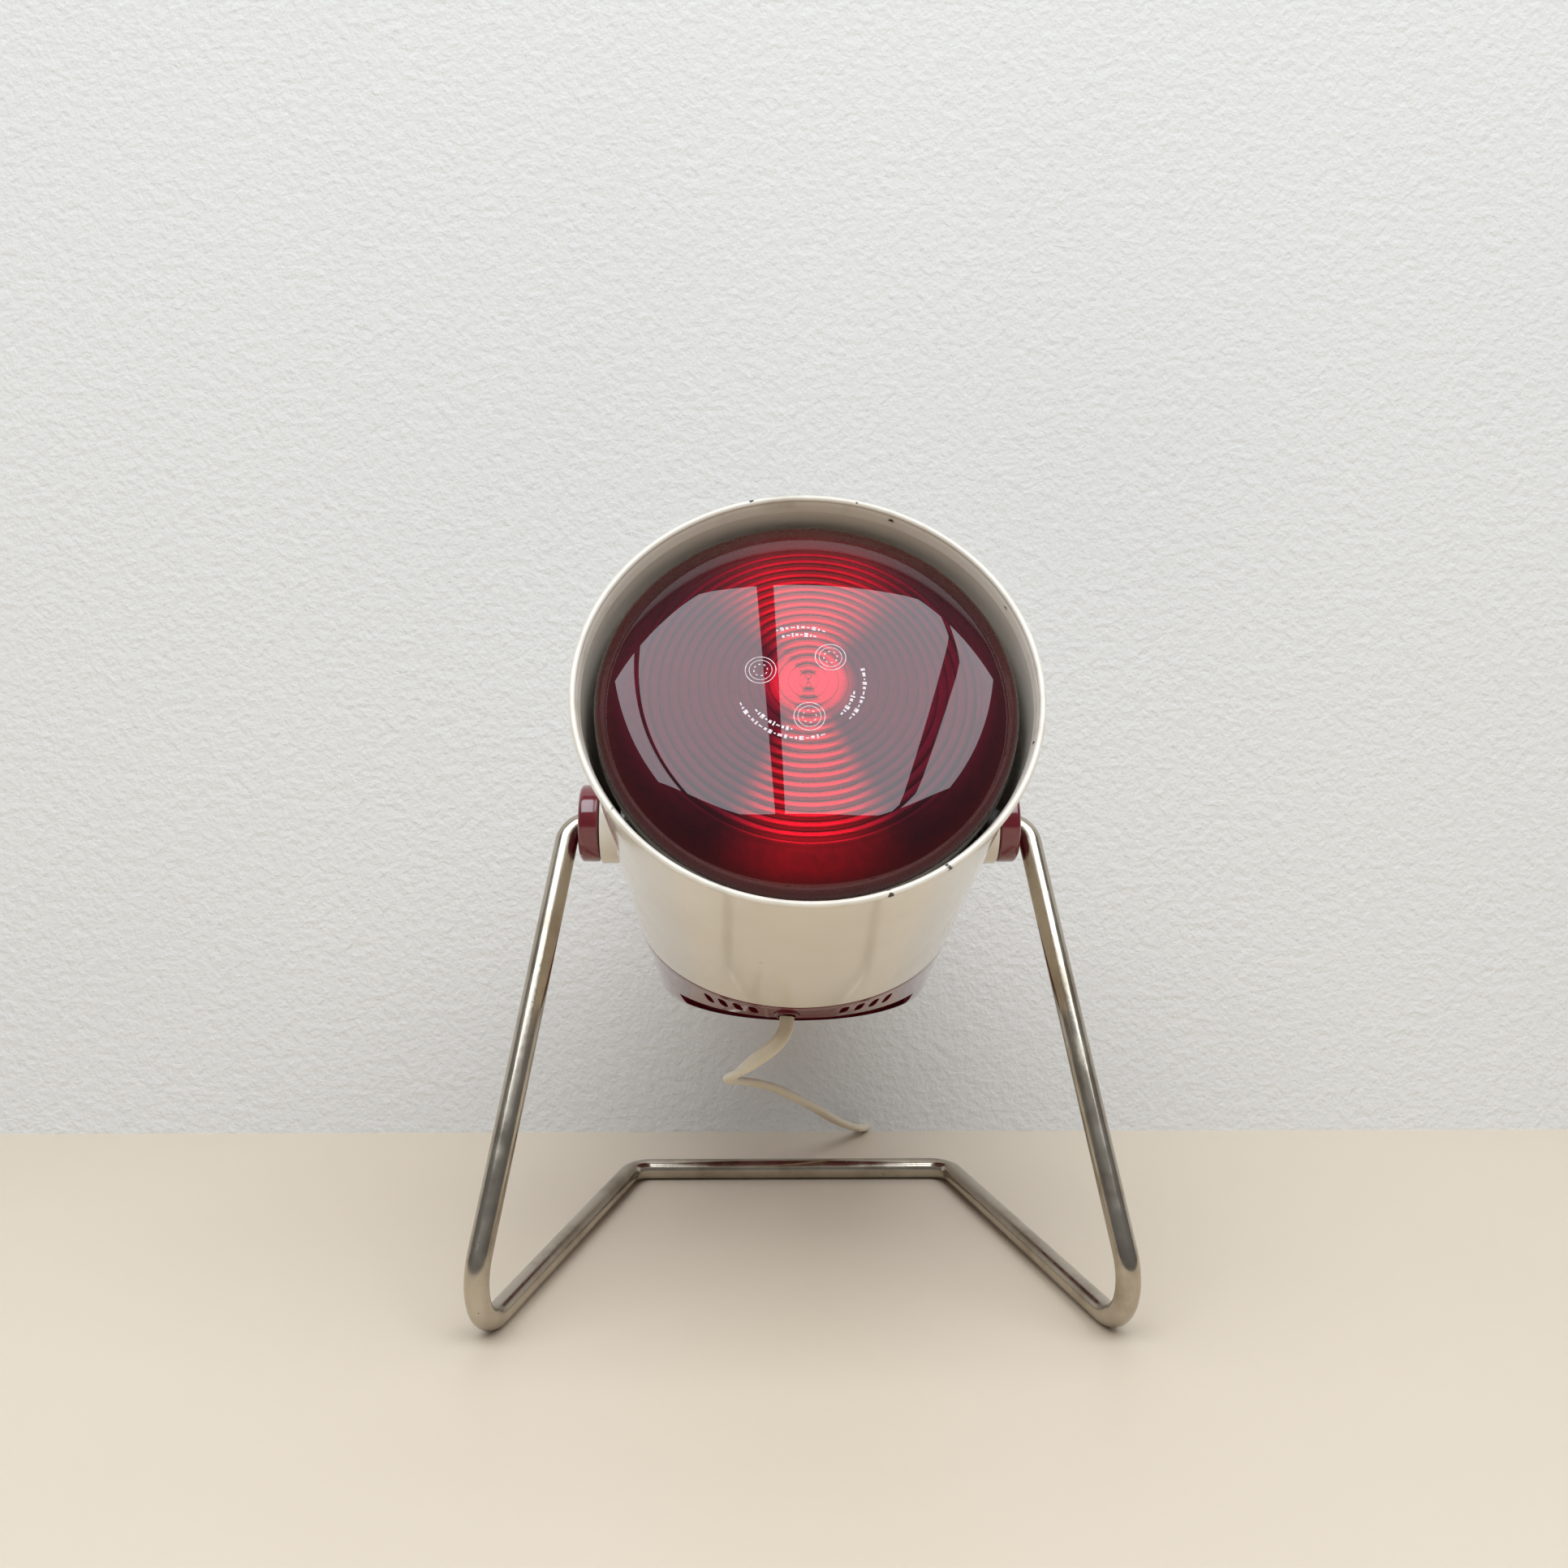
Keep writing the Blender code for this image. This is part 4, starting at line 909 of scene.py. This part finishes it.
def cord_path():
    """From the cap to the floor, round the coil and on to the plug."""
    lead = [Vector(p) * MM for p in LEAD_ROUTE]
    tail = [Vector(p) * MM for p in TAIL_ROUTE]
    steps = 12
    sweep = COIL_END_DEG - COIL_START_DEG
    count = round(sweep / 15)
    wound = [coil_point(COIL_START_DEG + sweep * i / count) for i in range(count + 1)]
    into = curve_through([*lead, wound[0], wound[1]], steps)[:-steps - 1]
    out = curve_through([wound[-2], wound[-1], *tail], 6)[6:]
    return [*into, *wound[:-1], *out]


def flat_twin():
    """The section of a flat twin lead: two cores with a shallow groove between them."""
    points = []
    for across, up in circle(1.0, 20):
        across = CORD_HALF_WIDTH * swell(across, 0.85)
        groove = 1 - GROOVE_DEPTH * math.exp(-((across / GROOVE_WIDTH) ** 2))
        points.append((across, CORD_HALF_THICKNESS * swell(up, 0.8) * groove))
    return points


def make_cord():
    """The free lead, which leaves the cap on edge and turns halfway to lie flat towards the floor."""
    path = cord_path()
    section = flat_twin()
    rings = []
    side = Vector((1, 0, 0.2))
    for i, (point, ahead) in enumerate(zip(path, tangents(path))):
        level = Vector((0, 0, 1)).cross(ahead)
        share = 0.5 * min(max((i - LEVEL_FROM) / LEVEL_OVER, 0.0), 1.0)
        carried = side - ahead * side.dot(ahead)
        if level.dot(carried) < 0:
            level = -level
        side = (carried.normalized() * (1 - share) + level.normalized() * share).normalized()
        side = (side - ahead * side.dot(ahead)).normalized()
        up = ahead.cross(side)
        rings.append([point + side * a + up * b for a, b in section])
    shape = skin([[path[0]], *rings, [path[-1]]])
    cord = add_piece("mains_lead", shape, "cord_plastic", sharp_deg=60)
    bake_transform(cord)
    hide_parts("cord_lead", "cord_tail", "cord_coil")
    return cord, path


def make_plug():
    """A flat two-pin plug: ribbed neck, waisted body, square-set face."""
    around = [(swell(a, 0.5), swell(b, 0.5)) for a, b in circle(1.0, 40)]
    rings = []
    for station in curve_through([Vector(s) for s in PLUG_STATIONS], 4):
        along, wide, high = station
        rings.append([PLUG_NECK + Vector((-along, a * wide, b * high)) * MM for a, b in around])
    return add_piece("plug_moulded", capped(rings), "cord_plastic", "stand", replaces=["plug_body"])


# ---------------------------------------------------------------- carried-over nodes


def finish_nodes():
    """Gives every CAD node that stays the finish of its record slot."""
    for entry in frame["record"]["subparts"]:
        part = NODES[entry["node"]]
        part.data.materials.clear()
        part.data.materials.append(FINISH[entry["material_slot"]])


# ---------------------------------------------------------------- stage, light, camera


def stage_material(name, light, dark, rough, bump_scale, bump_strength):
    """A matt or satin stage surface, faintly uneven in tone and height."""
    made, tree, shader = surface(name, Roughness=rough)
    place = local_place(tree)
    tone = span(tree, noise(tree, place, 3.0, 4.0), 0.35, 0.7)
    grain = noise(tree, place, bump_scale, 6.0, 0.6)
    wire(tree, shader, Base_Color=mix(tree, tone, light, dark),
         Normal=bump(tree, grain, bump_strength, 2 * MM))
    return made


def flat_sheet(name, corners, finish):
    """One face between four corners."""
    mesh = bpy.data.meshes.new(name)
    mesh.from_pydata(corners, [], [(0, 1, 2, 3)])
    mesh.materials.append(finish)
    sheet = bpy.data.objects.new(name, mesh)
    bpy.context.scene.collection.objects.link(sheet)
    return sheet


def make_stage():
    """A pale floor, and a rough white wall that hides the wound cord and is open from behind."""
    reach = STAGE_REACH
    pale = stage_material("pale_floor", (0.68, 0.58, 0.46), (0.66, 0.56, 0.44), 0.45, 60.0, 0.05)
    paint = stage_material("rough_wall", (0.82, 0.81, 0.785), (0.80, 0.79, 0.77), 0.85, 260.0, 0.6)
    tree = paint.node_tree
    away = put(tree, "ShaderNodeNewGeometry").outputs["Backfacing"]
    clear = put(tree, "ShaderNodeBsdfTransparent").outputs[0]
    painted = tree.nodes["Principled BSDF"].outputs[0]
    both = put(tree, "ShaderNodeMixShader", {0: away, 1: painted, 2: clear})
    tree.links.new(both.outputs[0], tree.nodes["Material Output"].inputs["Surface"])
    ground = [(-reach, -reach, 0), (reach, -reach, 0), (reach, reach, 0), (-reach, reach, 0)]
    upright = [(-reach, WALL_Y, 0), (reach, WALL_Y, 0), (reach, WALL_Y, WALL_TOP), (-reach, WALL_Y, WALL_TOP)]
    flat_sheet("floor", ground, pale)
    flat_sheet("wall", upright, paint)


def make_lights():
    """A roof window in four panes, high in front, and a soft sky around."""
    for k, (left, right) in enumerate(WINDOW_PANES):
        light = bpy.data.lights.new(f"pane_{k}", "AREA")
        light.shape = "RECTANGLE"
        light.size = right - left
        light.size_y = WINDOW_NEAR - WINDOW_FAR
        light.energy = WINDOW_WATTS_PER_M2 * light.size * light.size_y
        light.color = (0.86, 0.93, 1.0)
        lamp = bpy.data.objects.new(f"pane_{k}", light)
        lamp.location = ((left + right) / 2, (WINDOW_NEAR + WINDOW_FAR) / 2, WINDOW_HEIGHT)
        bpy.context.scene.collection.objects.link(lamp)
    world = bpy.data.worlds.new("room")
    world.use_nodes = True
    tree = world.node_tree
    sky = tree.nodes["Background"]
    sky.inputs["Color"].default_value = (0.93, 0.93, 0.95, 1.0)
    upward = split(tree, put(tree, "ShaderNodeTexCoord").outputs["Generated"])[2]
    tree.links.new(span(tree, upward, -0.1, 0.9, 0.17, 0.28), sky.inputs["Strength"])
    bpy.context.scene.world = world
    bpy.context.scene.view_settings.view_transform = "Standard"


def make_camera():
    """A camera a little above the lamp's middle, looking slightly down."""
    flat = math.cos(CAMERA_PITCH)
    ahead = Vector((math.sin(CAMERA_YAW) * flat, math.cos(CAMERA_YAW) * flat, -math.sin(CAMERA_PITCH)))
    level = Vector((math.cos(CAMERA_YAW), -math.sin(CAMERA_YAW), 0))
    above = level.cross(ahead)
    right = math.cos(CAMERA_ROLL) * level + math.sin(CAMERA_ROLL) * above
    up = -math.sin(CAMERA_ROLL) * level + math.cos(CAMERA_ROLL) * above
    lens = bpy.data.cameras.new("camera")
    lens.lens = CAMERA_LENS
    lens.sensor_width = CAMERA_SENSOR
    camera = bpy.data.objects.new("camera", lens)
    place = Matrix((right, up, -ahead)).transposed().to_4x4()
    place.translation = CAMERA_PLACE
    camera.matrix_world = place
    bpy.context.scene.collection.objects.link(camera)
    bpy.context.scene.camera = camera


FINISH = make_materials()
make_camera()
lead, lead_path = make_cord()
plug_piece = make_plug()
finish_nodes()
make_stand()
make_hood()
make_cap()
make_pivots()
make_lens()
make_reflector()
make_etching_marks()
make_stage()
make_lights()
